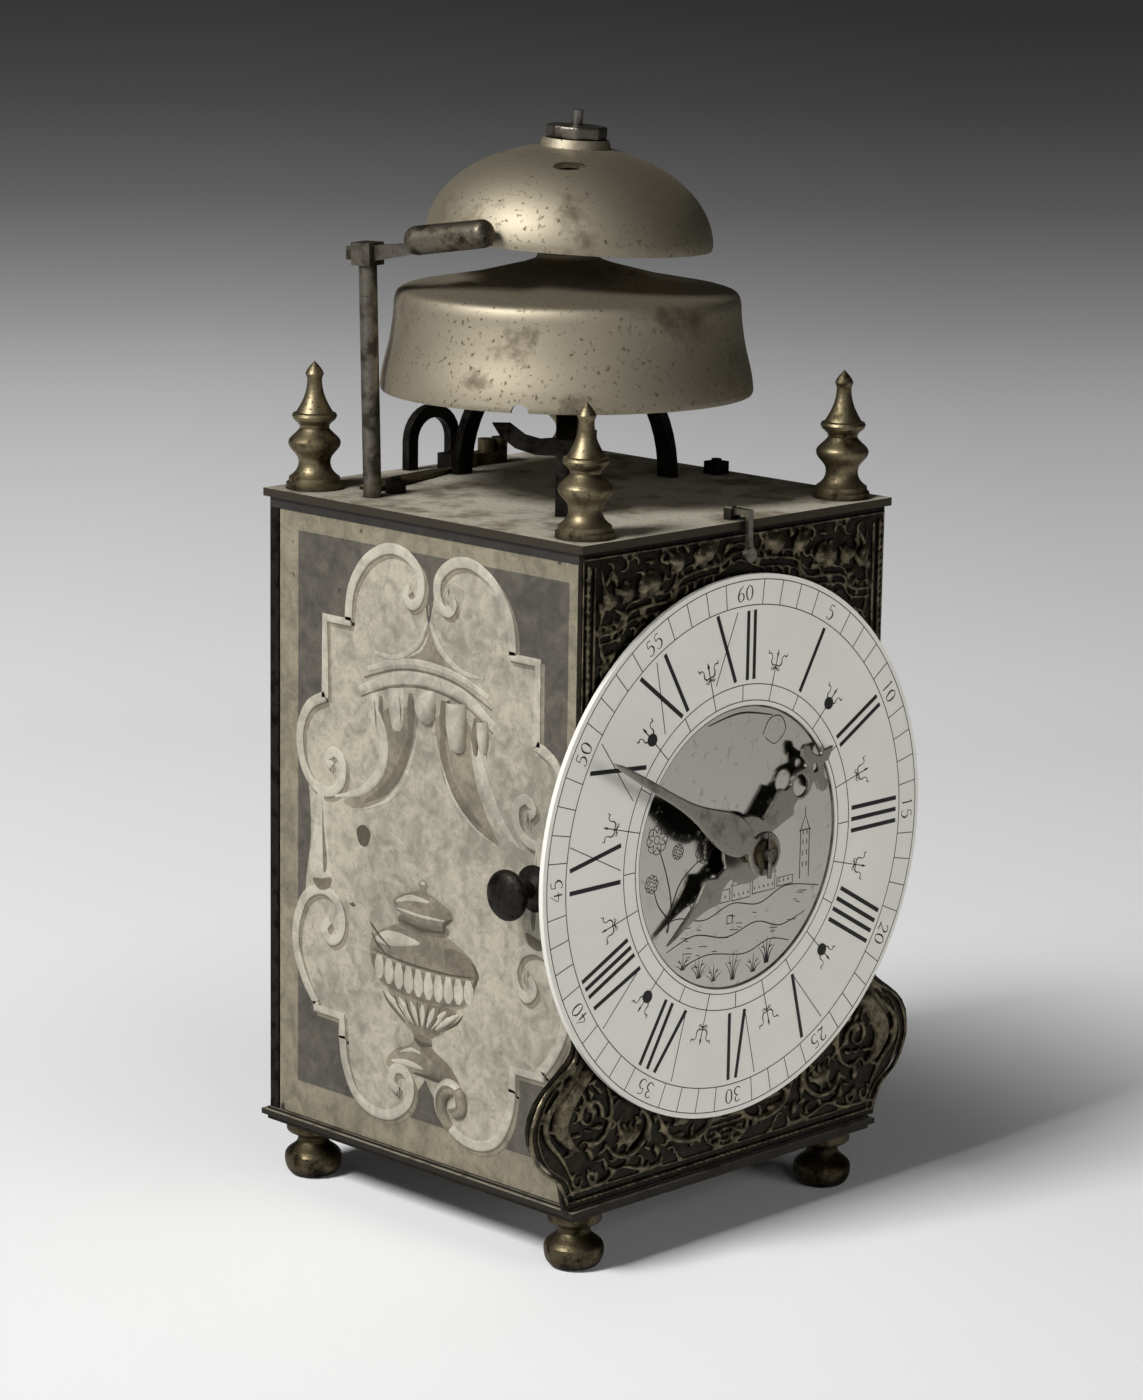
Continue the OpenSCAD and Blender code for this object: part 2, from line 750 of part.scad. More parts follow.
module pulley(z, y0) {
  translate([0, y0, z]) rotate([-90, 0, 0]) rotate_extrude() polygon([
    [0, 0], [pulley_r, 0], [pulley_r, 1], [pulley_groove_r, 3], [pulley_groove_r, pulley_l - 3],
    [pulley_r, pulley_l - 1], [pulley_r, pulley_l], [0, pulley_l]
  ]);
}

module centre_wheel() piece(brass) {
  difference() {
    union() {
      upright(0, dial_z, centre_wheel_y, centre_wheel_y + wheel_t)
        spoked(centre_teeth, centre_mod, third_angle, 5);
      rod_y(0, dial_z, going_y0 + clear_gap, centre_pinion_y, 3);
      upright(0, dial_z, centre_pinion_y, going_great_y + great_wheel_t + 2)
        leaves(centre_pinion_teeth, great_mod, -90);
    }
    rod_y(0, dial_z, going_y0 - cut, middle_bar_y, centre_arbor_r + running_gap);
  }
}

module going_great_wheel() piece(brass) {
  upright(0, going_great_z, going_great_y, going_great_y + great_wheel_t)
    spoked(going_great_teeth, great_mod, 90, pulley_r);
  pulley(going_great_z, going_great_y + great_wheel_t);
  arbor(0, going_great_z, going_y0, middle_bar_y);
}

module third_wheel() piece(brass) {
  upright(third_x, third_z, third_wheel_y, third_wheel_y + wheel_t)
    spoked(third_teeth, third_mod, escape_angle, 4);
  upright(third_x, third_z, centre_wheel_y - 2, centre_wheel_y + wheel_t + 2)
    leaves(third_pinion_teeth, centre_mod, third_angle + 180);
  arbor(third_x, third_z, going_y0, middle_bar_y);
}

module escape_wheel() piece(brass) {
  pitch = 360 / escape_teeth;
  upright(0, escape_z, escape_wheel_y, escape_wheel_y + wheel_t) difference() {
    polygon([
      for (i = [0:escape_teeth - 1], c = [[escape_r - 2.4, 0], [escape_r, 0.1], [escape_r - 2.4, 0.6]])
        let (a = pitch * (i + c[1])) [c[0] * cos(a), c[0] * sin(a)]
    ]);
    difference() {
      circle(escape_r - 4);
      circle(3.5);
      for (a = [0:90:270]) rotate(a) translate([0, -0.8]) square([escape_r, 1.6]);
    }
  }
  upright(0, escape_z, third_wheel_y - 2, third_wheel_y + wheel_t + 2)
    leaves(escape_pinion_teeth, third_mod, escape_angle + 180);
  arbor(0, escape_z, going_y0, middle_bar_y, escape_arbor_r);
}

escape_arbor_r = 1.15;
pallet_angle = 46;
pallet_gap = 1.5;

module anchor() piece(steel) {
  tip = escape_r + pallet_gap;
  pallet = [tip * sin(pallet_angle), escape_z + tip * cos(pallet_angle)];
  end = pallet + [2.6 * sin(pallet_angle), 2.6 * cos(pallet_angle)];
  arm = [[0, anchor_z + 3], end + [1, 0.6], pallet, end - [1.6, 0.4], [0, anchor_z - 3]];
  upright(0, 0, escape_wheel_y - 1, escape_wheel_y + wheel_t + 1)
    polygon(concat(arm, [for (i = [3:-1:1]) [-arm[i].x, arm[i].y]]));
  rod_y(0, anchor_z, going_y0 + clear_gap, pendulum_y + 4, arbor_r);
  rod_y(0, anchor_z, going_y0 - pivot_in, going_y0 + cut, pivot_r);
}

pendulum_y = rear_bar_y + bar_t + 7;
bob_t = 6;

module pendulum() piece(brass) {
  difference() {
    union() {
      rod_y(0, anchor_z, pendulum_y, pendulum_y + 4, 4);
      translate([0, pendulum_y + 2, anchor_z - pendulum_l + bob_r * 0.4])
        cylinder(h = pendulum_l - bob_r * 0.4 - 3, r = 1.2);
    }
    rod_y(0, anchor_z, pendulum_y - cut, pendulum_y + 4 + cut, arbor_r);
  }
  translate([0, pendulum_y + 2, anchor_z - pendulum_l]) rotate([-90, 0, 0])
    rotate_extrude() polygon([
      [0, -bob_t / 2], [bob_r * 0.6, -bob_t * 0.45], [bob_r, -bob_t * 0.25],
      [bob_r, bob_t * 0.25], [bob_r * 0.6, bob_t * 0.45], [0, bob_t / 2]
    ]);
}

module strike_great_wheel() piece(brass) {
  upright(0, strike_great_z, strike_great_y, strike_great_y + great_wheel_t)
    spoked(strike_great_teeth, great_mod, 90, pulley_r);
  pulley(strike_great_z, strike_great_y + great_wheel_t);
  rod_y(0, strike_great_z, strike_y0 - pivot_in, strike_y0 + cut, pivot_r);
  rod_y(0, strike_great_z, strike_y0 + clear_gap, count_wheel_y + wheel_t + 1, arbor_r);
}

count_r = 28;
count_slot = 3;
blows = [for (h = [1:12]) h * (h + 1) / 2];

module count_wheel() piece(brass) {
  upright(0, strike_great_z, count_wheel_y, count_wheel_y + wheel_t) difference() {
    circle(count_r);
    circle(arbor_r);
    for (b = blows)
      rotate(-360 * b / 78 + 67) translate([count_r - count_slot, -0.7]) square([2 * count_slot, 1.4]);
  }
}

hammer_pins = 8;
hammer_pin_reach = 19;
hammer_pin_r = 0.8;
hammer_pin_l = 6;

module pin_wheel() piece(brass) {
  upright(0, pin_z, pin_wheel_y, pin_wheel_y + wheel_t)
    spoked(pin_teeth, strike_mod, warning_angle, 5, rim = 8);
  upright(0, pin_z, strike_great_y - 3, strike_great_y + great_wheel_t + 3)
    leaves(pin_pinion_teeth, great_mod, -90);
  for (i = [0:hammer_pins - 1])
    let (a = 360 * i / hammer_pins)
      rod_y(hammer_pin_reach * cos(a), pin_z + hammer_pin_reach * sin(a),
        pin_wheel_y - hammer_pin_l, pin_wheel_y, hammer_pin_r);
  arbor(0, pin_z, strike_y0, rear_bar_y);
}

module warning_wheel() piece(brass) {
  upright(warning_x, warning_z, warning_wheel_y, warning_wheel_y + wheel_t)
    spoked(warning_teeth, strike_mod, fly_angle, 4);
  upright(warning_x, warning_z, pin_wheel_y - 2, pin_wheel_y + wheel_t + 2)
    leaves(warning_pinion_teeth, strike_mod, warning_angle + 180);
  arbor(warning_x, warning_z, strike_y0, rear_bar_y);
}

fly_half_w = 14;
fly_l = 10;

module fly() piece(brass) {
  upright(0, fly_z, warning_wheel_y - 2, warning_wheel_y + wheel_t + 2)
    leaves(fly_pinion_teeth, strike_mod, fly_angle + 180);
  arbor(0, fly_z, strike_y0, rear_bar_y, escape_arbor_r);
  translate([-fly_half_w, fly_y, fly_z - 0.4]) cube([2 * fly_half_w, fly_l, 0.8]);
}

module detent_arbor() piece(steel) {
  arm_l = sqrt(detent_x * detent_x + 72 * 72) - count_r - 0.8;
  arm_angle = atan2(-72, -detent_x);
  rod_y(detent_x, detent_z, strike_y0 - pivot_in, strike_y0 + cut, pivot_r);
  rod_y(detent_x, detent_z, strike_y0 + clear_gap, count_wheel_y + wheel_t, arbor_r);
  upright(detent_x, detent_z, count_wheel_y, count_wheel_y + wheel_t) rotate(arm_angle) {
    circle(3);
    polygon([[0, -2.2], [arm_l - 3, -1.2], [arm_l, -0.9], [arm_l, 0.9], [arm_l - 3, 1.2], [0, 2.2]]);
  }
}

// Side doors, each seen from the left and mirrored for the right

module door() {
  front_edge = face_y + front_plate_t + clear_gap;
  back_edge = back_y - flange_d - clear_gap - 0.4;
  translate([-side_x, front_edge, floor_top + clear_gap])
    cube([door_t, back_edge - front_edge, case_h - 2 * clear_gap]);
  translate([-hinge_x, hinge_y, floor_top - pintle_l])
    cylinder(h = case_h + 2 * pintle_l, r = pintle_r);
}

module knob() {
  translate([-side_x, face_y + knob_inset, floor_top + knob_h]) rotate([0, -90, 0])
    rotate_extrude() polygon(concat(
      [[0, 0], [knob_r * 0.92, 0], [knob_r * 0.92, 0.8], [knob_r * 0.6, 1.6],
        [knob_r * 0.34, 2.6], [knob_r * 0.3, knob_reach - 4]],
      curve([knob_r * 0.3, knob_reach - 4], [knob_r * 0.8, knob_reach - 3.4],
        [knob_r, knob_reach - 1.6], [knob_r, knob_reach]),
      curve([knob_r, knob_reach], [knob_r, knob_reach + 2], [knob_r * 0.5, knob_reach + 3.2],
        [0, knob_reach + 3.4])
    ));
}

module left_door() piece(paint) door();
module left_knob() piece(iron) knob();
module right_door() piece(paint) mirror([1, 0, 0]) door();
module right_knob() piece(iron) mirror([1, 0, 0]) knob();

// Bells and their stand

stand_h = 45;
hub_r = 8;
hub_t = 3;
neck_z = deck + lower_rim_h + lower_bell_h;
upper_rim_z = neck_z + bell_spacing;
crown_z = upper_rim_z + upper_bell_h;
washer_r = 10.8;
washer_t = 2.6;
nut_r = 9.3;
nut_t = 4;
nut_top = crown_z + washer_t + nut_t;
thread_r = 1.7;
thread_l = 4.6;

module at_bells(z) {
  translate([-bell_left, bell_back, z]) children();
}

// The frame above the lower bell leans over to the right, as seen from the front left corner
module leaning() {
  at_bells(neck_z) rotate(a = bell_lean, v = [1, 1, 0]) translate([0, 0, -neck_z]) children();
}

module bell_stand() piece(iron) {
  strap = [
    [-21.8, 26.8], [-19.4, 23], [-15, 19.5], [-9, 17.6], [0, 17.3], [9, 19], [9, 25], [6, 25], [6, 22],
    [0, 22], [-4, 22.5], [-7.6, 22.2], [-12, 23.4], [-16.5, 26.8]
  ];
  inner = [for (p = oval(stand_r - stand_leg_t, stand_h - stand_leg_t, 0, 84)) p];
  outer = reversed(oval(stand_r, stand_h, 0, 84));
  at_bells(deck) difference() {
    union() {
      for (a = [0, 90, 225])
        rotate(a) translate([0, stand_leg_w / 2, 0]) rotate([90, 0, 0])
          linear_extrude(stand_leg_w) polygon(concat(inner, outer));
      rotate(225) translate([stand_r - 6.5, 0, 0]) rotate([90, 0, 90]) linear_extrude(2.5) polygon(strap);
      translate([0, 0, stand_h - hub_t]) cylinder(h = hub_t, r = hub_r);
    }
    cylinder(h = stand_h + cut, r = bell_post_r);
  }
}

collar_r = 4.5;

module bell_post() piece(steel) {
  at_bells(0) {
    translate([0, 0, deck + stand_h - hub_t])
      cylinder(h = neck_z - bell_t - deck - stand_h + hub_t, r = bell_post_r);
    translate([0, 0, deck + stand_h])
      cylinder(h = neck_z - bell_t - deck - stand_h, r = collar_r);
  }
  leaning() {
    translate([0, 0, neck_z - bell_t - 2]) cylinder(h = nut_top - neck_z + bell_t + 2, r = bell_post_r);
    translate([0, 0, nut_top]) cylinder(h = thread_l, r = thread_r);
  }
}

module lower_bell() piece(bronze) {
  r = lower_bell_r;
  h = lower_bell_h;
  s = lower_shoulder_r;
  shoulder_z = h * 0.7;
  neck_r = 9.5;
  t = bell_t;
  outer = concat(
    [[r, 0]],
    curve([r, 0], [r - 1.6, h * 0.2], [s + 0.6, h * 0.45], [s, shoulder_z - 1.5]),
    curve([s, shoulder_z - 1.5], [s, shoulder_z + 0.6], [s - 1.5, shoulder_z + 1.3],
      [s - 4, shoulder_z + 2], 4),
    [[12.2, h - 2.7], [neck_r, h - 1.6], [neck_r, h]]
  );
  inner = concat(
    [[0, h - t], [collar_r + 0.5, h - t], [neck_r, h - t - 0.6], [11.8, h - 2.7 - t], [s - 4.6, shoulder_z + 2 - t]],
    curve([s - 4.6, shoulder_z + 2 - t], [s - t - 0.6, shoulder_z + 0.6 - t],
      [s - t, shoulder_z - t], [s - t, shoulder_z - 3], 4),
    reversed(concat([[r - t, 0]],
      curve([r - t, 0], [r - 1.6 - t, h * 0.2], [s + 0.6 - t, h * 0.45],
        [s - t, shoulder_z - 3.2])))
  );
  at_bells(deck + lower_rim_h) difference() {
    rotate_extrude($fn = 180) polygon(concat([[0, h]], inner, outer));
    cylinder(h = 2 * h, r = bell_post_r + 0.3);
  }
}

module bell_spacer() piece(iron) {
  leaning() difference() {
    translate([0, 0, neck_z + 0.35]) cylinder(h = crown_z - bell_t - neck_z - 0.35, r = 6);
    translate([0, 0, neck_z - cut]) cylinder(h = upper_bell_h + 2 * cut + bell_spacing, r = bell_post_r);
  }
}

module upper_bell() piece(bronze) {
  flat = 0.265;
  from = 0;
  to = acos(flat);
  h = upper_bell_h / sin(to);
  outer = oval(upper_bell_r, h, from, to, 18);
  inner = reversed(oval(upper_bell_r - bell_t, h - bell_t, from, to, 18));
  leaning() difference() {
    translate([0, 0, upper_rim_z]) rotate_extrude($fn = 180)
      polygon(concat(outer, [[0, upper_bell_h], [0, upper_bell_h - bell_t]],
        [for (p = inner) [p.x, min(p.y, upper_bell_h - bell_t)]]));
    cylinder(h = crown_z + cut, r = bell_post_r);
  }
}

module bell_washer() piece(bronze) {
  leaning() difference() {
    translate([0, 0, crown_z]) cylinder(h = washer_t, r1 = washer_r, r2 = washer_r - 0.8);
    translate([0, 0, crown_z - cut]) cylinder(h = washer_t + 2 * cut, r = bell_post_r);
  }
}

module bell_nut() piece(iron) {
  leaning() difference() {
    translate([0, 0, crown_z + washer_t]) cylinder(h = nut_t, r = nut_r, $fn = 8);
    translate([0, 0, crown_z + washer_t - cut]) cylinder(h = nut_t + 2 * cut, r = bell_post_r);
  }
}

// Strike hammer, at rest just clear of the upper bell, in heights over the top plate

hammer_turn = -82.1;
head_rise = 7.5;
head_z = upper_rim_z - deck + 1.2;
socket_z = head_z - 4.4;
arm_w = 3;
socket_w = 7;
socket_h = 6.8;
wedge_w = 4;
wedge_out = 3.2;
tenon_l = 3;
tail_z = pin_z - deck;
tail_t = 4;
tail_tip_x = -hammer_pin_reach - hammer_pin_r - 0.9;
tail_tip_y = pin_wheel_y - hammer_pin_l / 2 - 1;
tail_sway = tail_z * tan(hammer_lean) / sqrt(2);

module at_hammer(z) {
  on_hammer_axis() translate([0, 0, z]) rotate(hammer_turn) children();
}

module hammer_arbor() piece(iron) {
  reach = [tail_tip_x - hammer_x + tail_sway, tail_tip_y - hammer_y - tail_sway];
  angle = atan2(reach.y, reach.x);
  length = norm(reach);
  foot_z = floor_top - deck;
  on_hammer_axis() {
    translate([0, 0, foot_z + clear_gap])
      cylinder(h = socket_z - socket_h / 2 - foot_z - clear_gap, r = hammer_arbor_r);
    translate([0, 0, foot_z - hammer_pivot_l]) cylinder(h = hammer_pivot_l + cut, r = hammer_pivot_r);
    translate([0, 0, tail_z - tail_t / 2]) rotate(angle) linear_extrude(tail_t)
      polygon([[0, -2.4], [length, -1], [length, 1], [0, 2.4]]);
  }
}

module arm_bar() {
  l = hammer_arm_l;
  translate([0, arm_w / 2, 0]) rotate([90, 0, 0]) linear_extrude(arm_w)
    polygon([[0, -2.6], [l, 0.4], [l + tenon_l, 0.8], [l + tenon_l, 4.2], [l, 3.8], [0, 2.4]]);
}

module hammer_arm() piece(iron) {
  at_hammer(socket_z) {
    difference() {
      translate([-socket_w / 2, -socket_w / 2, -socket_h / 2]) cube([socket_w, socket_w, socket_h]);
      translate([-socket_w / 2 - cut, -wedge_w / 2, -wedge_w / 2])
        cube([socket_w / 2 + cut, wedge_w, wedge_w]);
    }
    arm_bar();
  }
}

module hammer_wedge() piece(iron) {
  at_hammer(socket_z) translate([-socket_w / 2 - wedge_out, -wedge_w / 2, -wedge_w / 2])
    cube([socket_w / 2 + wedge_out, wedge_w, wedge_w]);
}

module hammer_head() piece(brass) {
  r = hammer_head_r;
  l = hammer_head_l;
  round = r * 0.7;
  difference() {
    at_hammer(head_z) translate([hammer_arm_l, 0, 0]) rotate([0, 90 - head_rise, 0]) rotate_extrude()
      polygon(concat(
        [[0, 0], [r - round, 0]],
        curve([r - round, 0], [r - round * 0.45, 0], [r, round * 0.4], [r, round], 5),
        curve([r, l - round], [r, l - round * 0.4], [r - round * 0.45, l], [r - round, l], 5),
        [[0, l]]
      ));
    at_hammer(socket_z) arm_bar();
  }
}

// Fittings on the top plate

nut_spots = [[-43, 35, 4, 4.4], [3, 58.7, 5, 6.5], [60, -2, 4, 5.6]];

module plate_nuts() piece(iron) {
  for (n = nut_spots) translate([n.x, n.y, deck]) {
    translate([-n[3] / 2, -n[3] / 2, 0]) cube([n[3], n[3], n.z]);
    cylinder(h = n.z + 0.8, r = 1.6);
  }
}

module hammer_spring() piece(brass) {
  translate([0, 0, deck]) linear_extrude(1.5)
    polygon([
      [-45, 39.5], [-30, 43.4], [-6, 51.2], [4.5, 51.2], [4.5, 55], [-10, 55.4], [-30, 52.4],
      [-47, 47.5]
    ]);
}

module stop_bar() piece(brass) {
  translate([7, 57, deck]) cube([18, 5, 4]);
  for (x = [18.5, 24.5]) translate([x, 59.5, deck]) cylinder(h = 8, r = 2.6);
}

hoop_r = 11;
hoop_w = 4;

module hanging_hoop() piece(iron) {
  inner = hoop_r - hoop_w;
  upright(0, deck, back_y - 3.4, back_y - 0.4) polygon(concat(
    [[hoop_r, 0]], [for (p = oval(hoop_r, hoop_r, 0, 180)) p + [0, 9]], [[-hoop_r, 0], [-inner, 0]],
    [for (p = oval(inner, inner, 180, 0)) p + [0, 9]], [[inner, 0]]
  ));
}

bottom_plate();
top_plate();
corner_posts();
foot_front_left();
foot_front_right();
foot_rear_left();
foot_rear_right();
finial_front_left();
finial_front_right();
finial_rear_left();
finial_rear_right();
front_plate();
back_plate();
chapter_ring();
dial_centre();
ring_pins();
front_latch();
left_door();
left_knob();
right_door();
right_knob();
hanging_hoop();
bell_stand();
bell_post();
lower_bell();
bell_spacer();
upper_bell();
bell_washer();
bell_nut();
hammer_arbor();
hammer_arm();
hammer_head();
hammer_wedge();
hammer_spring();
stop_bar();
plate_nuts();
front_bar();
middle_bar();
rear_bar();
centre_arbor();
minute_hand();
hand_collet();
taper_pin();
hour_wheel();
hour_hand();
minute_wheel();
minute_stud();
centre_wheel();
going_great_wheel();
third_wheel();
escape_wheel();
anchor();
pendulum();
strike_great_wheel();
count_wheel();
pin_wheel();
warning_wheel();
fly();
detent_arbor();
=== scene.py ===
"""Dresses a lantern clock's fixed model: finishes, dial, hands, raised front and painted doors."""
import json
import math
import random

import bpy
from mathutils import Matrix, Vector


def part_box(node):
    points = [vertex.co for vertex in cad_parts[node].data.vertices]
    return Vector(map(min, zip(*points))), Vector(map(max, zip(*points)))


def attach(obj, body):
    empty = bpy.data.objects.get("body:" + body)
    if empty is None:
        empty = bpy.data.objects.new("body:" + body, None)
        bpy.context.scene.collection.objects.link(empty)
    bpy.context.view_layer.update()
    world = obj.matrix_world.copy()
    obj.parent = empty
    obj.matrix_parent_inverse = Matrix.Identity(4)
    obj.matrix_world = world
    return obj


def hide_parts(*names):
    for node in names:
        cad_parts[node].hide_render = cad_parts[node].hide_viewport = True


bl_info = {
    "name": "Lantern Clock",
    "version": (1, 0, 0),
    "blender": (4, 5, 0),
    "location": "3D View > Sidebar > Clock",
    "description": "Models the dial, hands, raised front, painted doors and finishes of a lantern clock",
    "category": "Object",
}

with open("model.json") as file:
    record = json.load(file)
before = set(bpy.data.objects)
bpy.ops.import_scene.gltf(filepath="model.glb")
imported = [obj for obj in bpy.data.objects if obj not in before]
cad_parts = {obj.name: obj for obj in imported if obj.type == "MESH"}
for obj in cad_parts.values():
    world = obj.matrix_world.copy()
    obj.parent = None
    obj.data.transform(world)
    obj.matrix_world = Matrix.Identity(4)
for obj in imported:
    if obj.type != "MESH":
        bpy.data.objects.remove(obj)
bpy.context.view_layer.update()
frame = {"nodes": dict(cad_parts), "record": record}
MM = 0.001


def linear(code):
    """Turns an sRGB hex colour into linear red, green and blue."""
    parts = [int(code[i:i + 2], 16) / 255 for i in (1, 3, 5)]
    return tuple(c / 12.92 if c <= 0.04045 else ((c + 0.055) / 1.055) ** 2.4 for c in parts)


def shade(colour, amount=1.0):
    """Gives a node colour, darkened or lightened by a share."""
    return tuple(c * amount for c in colour[:3]) + (1.0,)


# Where things are, read from the fixed model

RING_LOW, RING_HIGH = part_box("chapter_ring")
PLATE_LOW, PLATE_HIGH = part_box("front_plate")
DISC_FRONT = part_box("dial_centre")[0].y
LEFT_DOOR_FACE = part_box("left_door")[0].x
RIGHT_DOOR_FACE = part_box("right_door")[1].x
BACK_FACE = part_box("back_plate")[1].y
DIAL_Z = (RING_LOW.z + RING_HIGH.z) / 2
FLOOR_TOP = PLATE_LOW.z
UPRIGHT = Matrix(((1, 0, 0, 0), (0, 0, -1, 0), (0, 1, 0, 0), (0, 0, 0, 1)))


def facing_front(y, z):
    """Places a flat drawing on a surface that looks along -Y, with its origin at height z."""
    return Matrix.Translation((0, y, z)) @ UPRIGHT


def on_left_door():
    """Places a drawing on the left door, measured from the case's back edge and its floor."""
    turned = Matrix(((0, 0, -1, 0), (-1, 0, 0, 0), (0, 1, 0, 0), (0, 0, 0, 1)))
    return Matrix.Translation((LEFT_DOOR_FACE, BACK_FACE, FLOOR_TOP)) @ turned


def on_right_door():
    """Places a drawing on the right door, measured from the case's front edge and its floor."""
    turned = Matrix(((0, 0, 1, 0), (1, 0, 0, 0), (0, 1, 0, 0), (0, 0, 0, 1)))
    return Matrix.Translation((RIGHT_DOOR_FACE, PLATE_LOW.y, FLOOR_TOP)) @ turned


# Drawing helpers. Drawings are in millimetres, as x, y and, for a stroke, the width there

def smooth(points, steps=6, closed=False):
    """Runs an even curve through the points."""
    count = len(points)
    spans = count if closed else count - 1
    result = []
    for i in range(spans):
        if closed:
            p = [points[(i + k) % count] for k in (-1, 0, 1, 2)]
        else:
            p = [points[min(max(i + k, 0), count - 1)] for k in (-1, 0, 1, 2)]
        for s in range(steps):
            t = s / steps
            result.append(tuple(
                0.5 * (2 * b + (c - a) * t + (2 * a - 5 * b + 4 * c - d) * t * t
                       + (3 * b - a - 3 * c + d) * t ** 3)
                for a, b, c, d in zip(*p)))
    if not closed:
        result.append(tuple(points[-1]))
    return result


def arc(x, y, radius, start, end, width, steps=None):
    """Gives a stroke along part of a circle, with its angles in degrees."""
    steps = steps or max(6, int(abs(end - start) / 10))
    turns = [math.radians(start + (end - start) * i / steps) for i in range(steps + 1)]
    return [(x + radius * math.cos(a), y + radius * math.sin(a), width) for a in turns]


def scroll(x, y, inner, outer, start, end, thin, thick):
    """Gives a spiral stroke that widens from its eye outwards."""
    steps = 22
    result = []
    for i in range(steps + 1):
        t = i / steps
        a = math.radians(start + (end - start) * t)
        r = inner + (outer - inner) * t
        result.append((x + r * math.cos(a), y + r * math.sin(a), thin + (thick - thin) * t))
    return result


def tapered(points, ends=0.3):
    """Narrows a stroke's two ends."""
    last = len(points) - 1
    return [(x, y, w * (ends + (1 - ends) * math.sin(math.pi * i / last) ** 0.6))
            for i, (x, y, w) in enumerate(points)]


def brush(points, steps=5, ends=0.4):
    """Gives a painted stroke: an even curve with narrow ends."""
    return tapered(smooth(points, steps), ends)


def loop(points, steps=5):
    """Gives an even closed outline."""
    return smooth(points, steps, closed=True)


def mirrored(line, about=0.0):
    """Mirrors a stroke or an outline in an upright line."""
    return [(2 * about - p[0],) + tuple(p[1:]) for p in line]


def turned(line, angle):
    """Turns a drawing clockwise about the origin by an angle in degrees."""
    c = math.cos(math.radians(angle))
    s = math.sin(math.radians(angle))
    return [(p[0] * c + p[1] * s, -p[0] * s + p[1] * c) + tuple(p[2:]) for p in line]


def only(obj):
    """Selects one object alone."""
    if bpy.context.mode != "OBJECT":
        bpy.ops.object.mode_set(mode="OBJECT")
    bpy.ops.object.select_all(action="DESELECT")
    obj.select_set(True)
    bpy.context.view_layer.objects.active = obj


def as_mesh(curve, name):
    """Turns a curve into a mesh object."""
    obj = bpy.data.objects.new(name, curve)
    bpy.context.scene.collection.objects.link(obj)
    only(obj)
    bpy.ops.object.convert(target="MESH")
    made = bpy.context.view_layer.objects.active
    made.name = name
    return made


def settle(obj, place, material, body):
    """Applies a finished piece's place, and gives it its material and body."""
    only(obj)
    obj.matrix_world = place @ Matrix.Scale(MM, 4)
    bpy.ops.object.transform_apply(location=True, rotation=True, scale=True)
    dress(obj, material)
    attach(obj, body)


def dress(obj, material):
    """Gives an object one material and nothing else."""
    obj.data.materials.clear()
    obj.data.materials.append(material)


# Strokes that cross lie this much over each other, in millimetres, so that no two tops are level
CROSSING_STEP = 0.005


def strokes(name, lines, height, flat_top=True):
    """Draws strokes as one mesh: low and flat for paint and ink, half round for raised work."""
    curve = bpy.data.curves.new(name, "CURVE")
    curve.dimensions = "3D"
    curve.twist_mode = "Z_UP"
    curve.bevel_depth = 1.0
    curve.bevel_resolution = 3 if flat_top else 1
    curve.use_fill_caps = True
    for line in lines:
        spline = curve.splines.new("POLY")
        spline.points.add(len(line) - 1)
        for point, (x, y, width) in zip(spline.points, line):
            point.co = (x, y, 0, 1)
            point.radius = width / 2
    obj = as_mesh(curve, name)
    vertices = obj.data.vertices
    around = len(vertices) // sum(len(line) for line in lines)
    first = 0
    for i, line in enumerate(lines):
        top = height + CROSSING_STEP * (i % 5)
        for v in vertices[first:first + around * len(line)]:
            if flat_top:
                v.co.z = top if v.co.z > 0.01 * height else -height
            else:
                v.co.z *= height
        first += around * len(line)
    return obj


def flat(name, outlines, height):
    """Fills closed outlines as one thin plate, whose back lies just inside the surface."""
    curve = bpy.data.curves.new(name, "CURVE")
    curve.dimensions = "2D"
    curve.fill_mode = "BOTH"
    curve.extrude = height
    for outline in outlines:
        spline = curve.splines.new("POLY")
        spline.points.add(len(outline) - 1)
        for point, corner in zip(spline.points, outline):
            point.co = (corner[0], corner[1], 0, 1)
        spline.use_cyclic_u = True
    obj = as_mesh(curve, name)
    closed(obj)
    return obj


def closed(obj):
    """Merges doubled points and turns the faces outwards."""
    only(obj)
    bpy.ops.object.mode_set(mode="EDIT")
    bpy.ops.mesh.select_all(action="SELECT")
    bpy.ops.mesh.remove_doubles(threshold=0.0001)
    bpy.ops.mesh.normals_make_consistent(inside=False)
    bpy.ops.object.mode_set(mode="OBJECT")


def apply_modifier(obj, kind, **settings):
    """Adds a modifier with its settings and applies it."""
    only(obj)
    modifier = obj.modifiers.new(kind.title(), kind)
    for key, value in settings.items():
        setattr(modifier, key, value)
    bpy.ops.object.modifier_apply(modifier=modifier.name)


def copied(node, name):
    """Copies a node's mesh as a new piece, with its triangles merged at their seams."""
    piece = frame["nodes"][node].copy()
    piece.data = frame["nodes"][node].data.copy()
    piece.name = name
    piece.parent = None
    for key in [k for k in piece.keys() if k.startswith("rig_")]:
        del piece[key]
    bpy.context.scene.collection.objects.link(piece)
    only(piece)
    bpy.ops.object.mode_set(mode="EDIT")
    bpy.ops.mesh.select_all(action="SELECT")
    bpy.ops.mesh.remove_doubles(threshold=0.000005)
    bpy.ops.object.mode_set(mode="OBJECT")
    return piece


def body_of(node):
    """Names the body that a node belongs to."""
    groups = frame["record"]["behaviour"]["bodies"]
    return next(body for body, members in groups.items() if node in members)


def take_place(piece, node, material):
    """Puts a remade piece in the place of its node, with its material."""
    dress(piece, material)
    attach(piece, body_of(node))
    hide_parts(node)


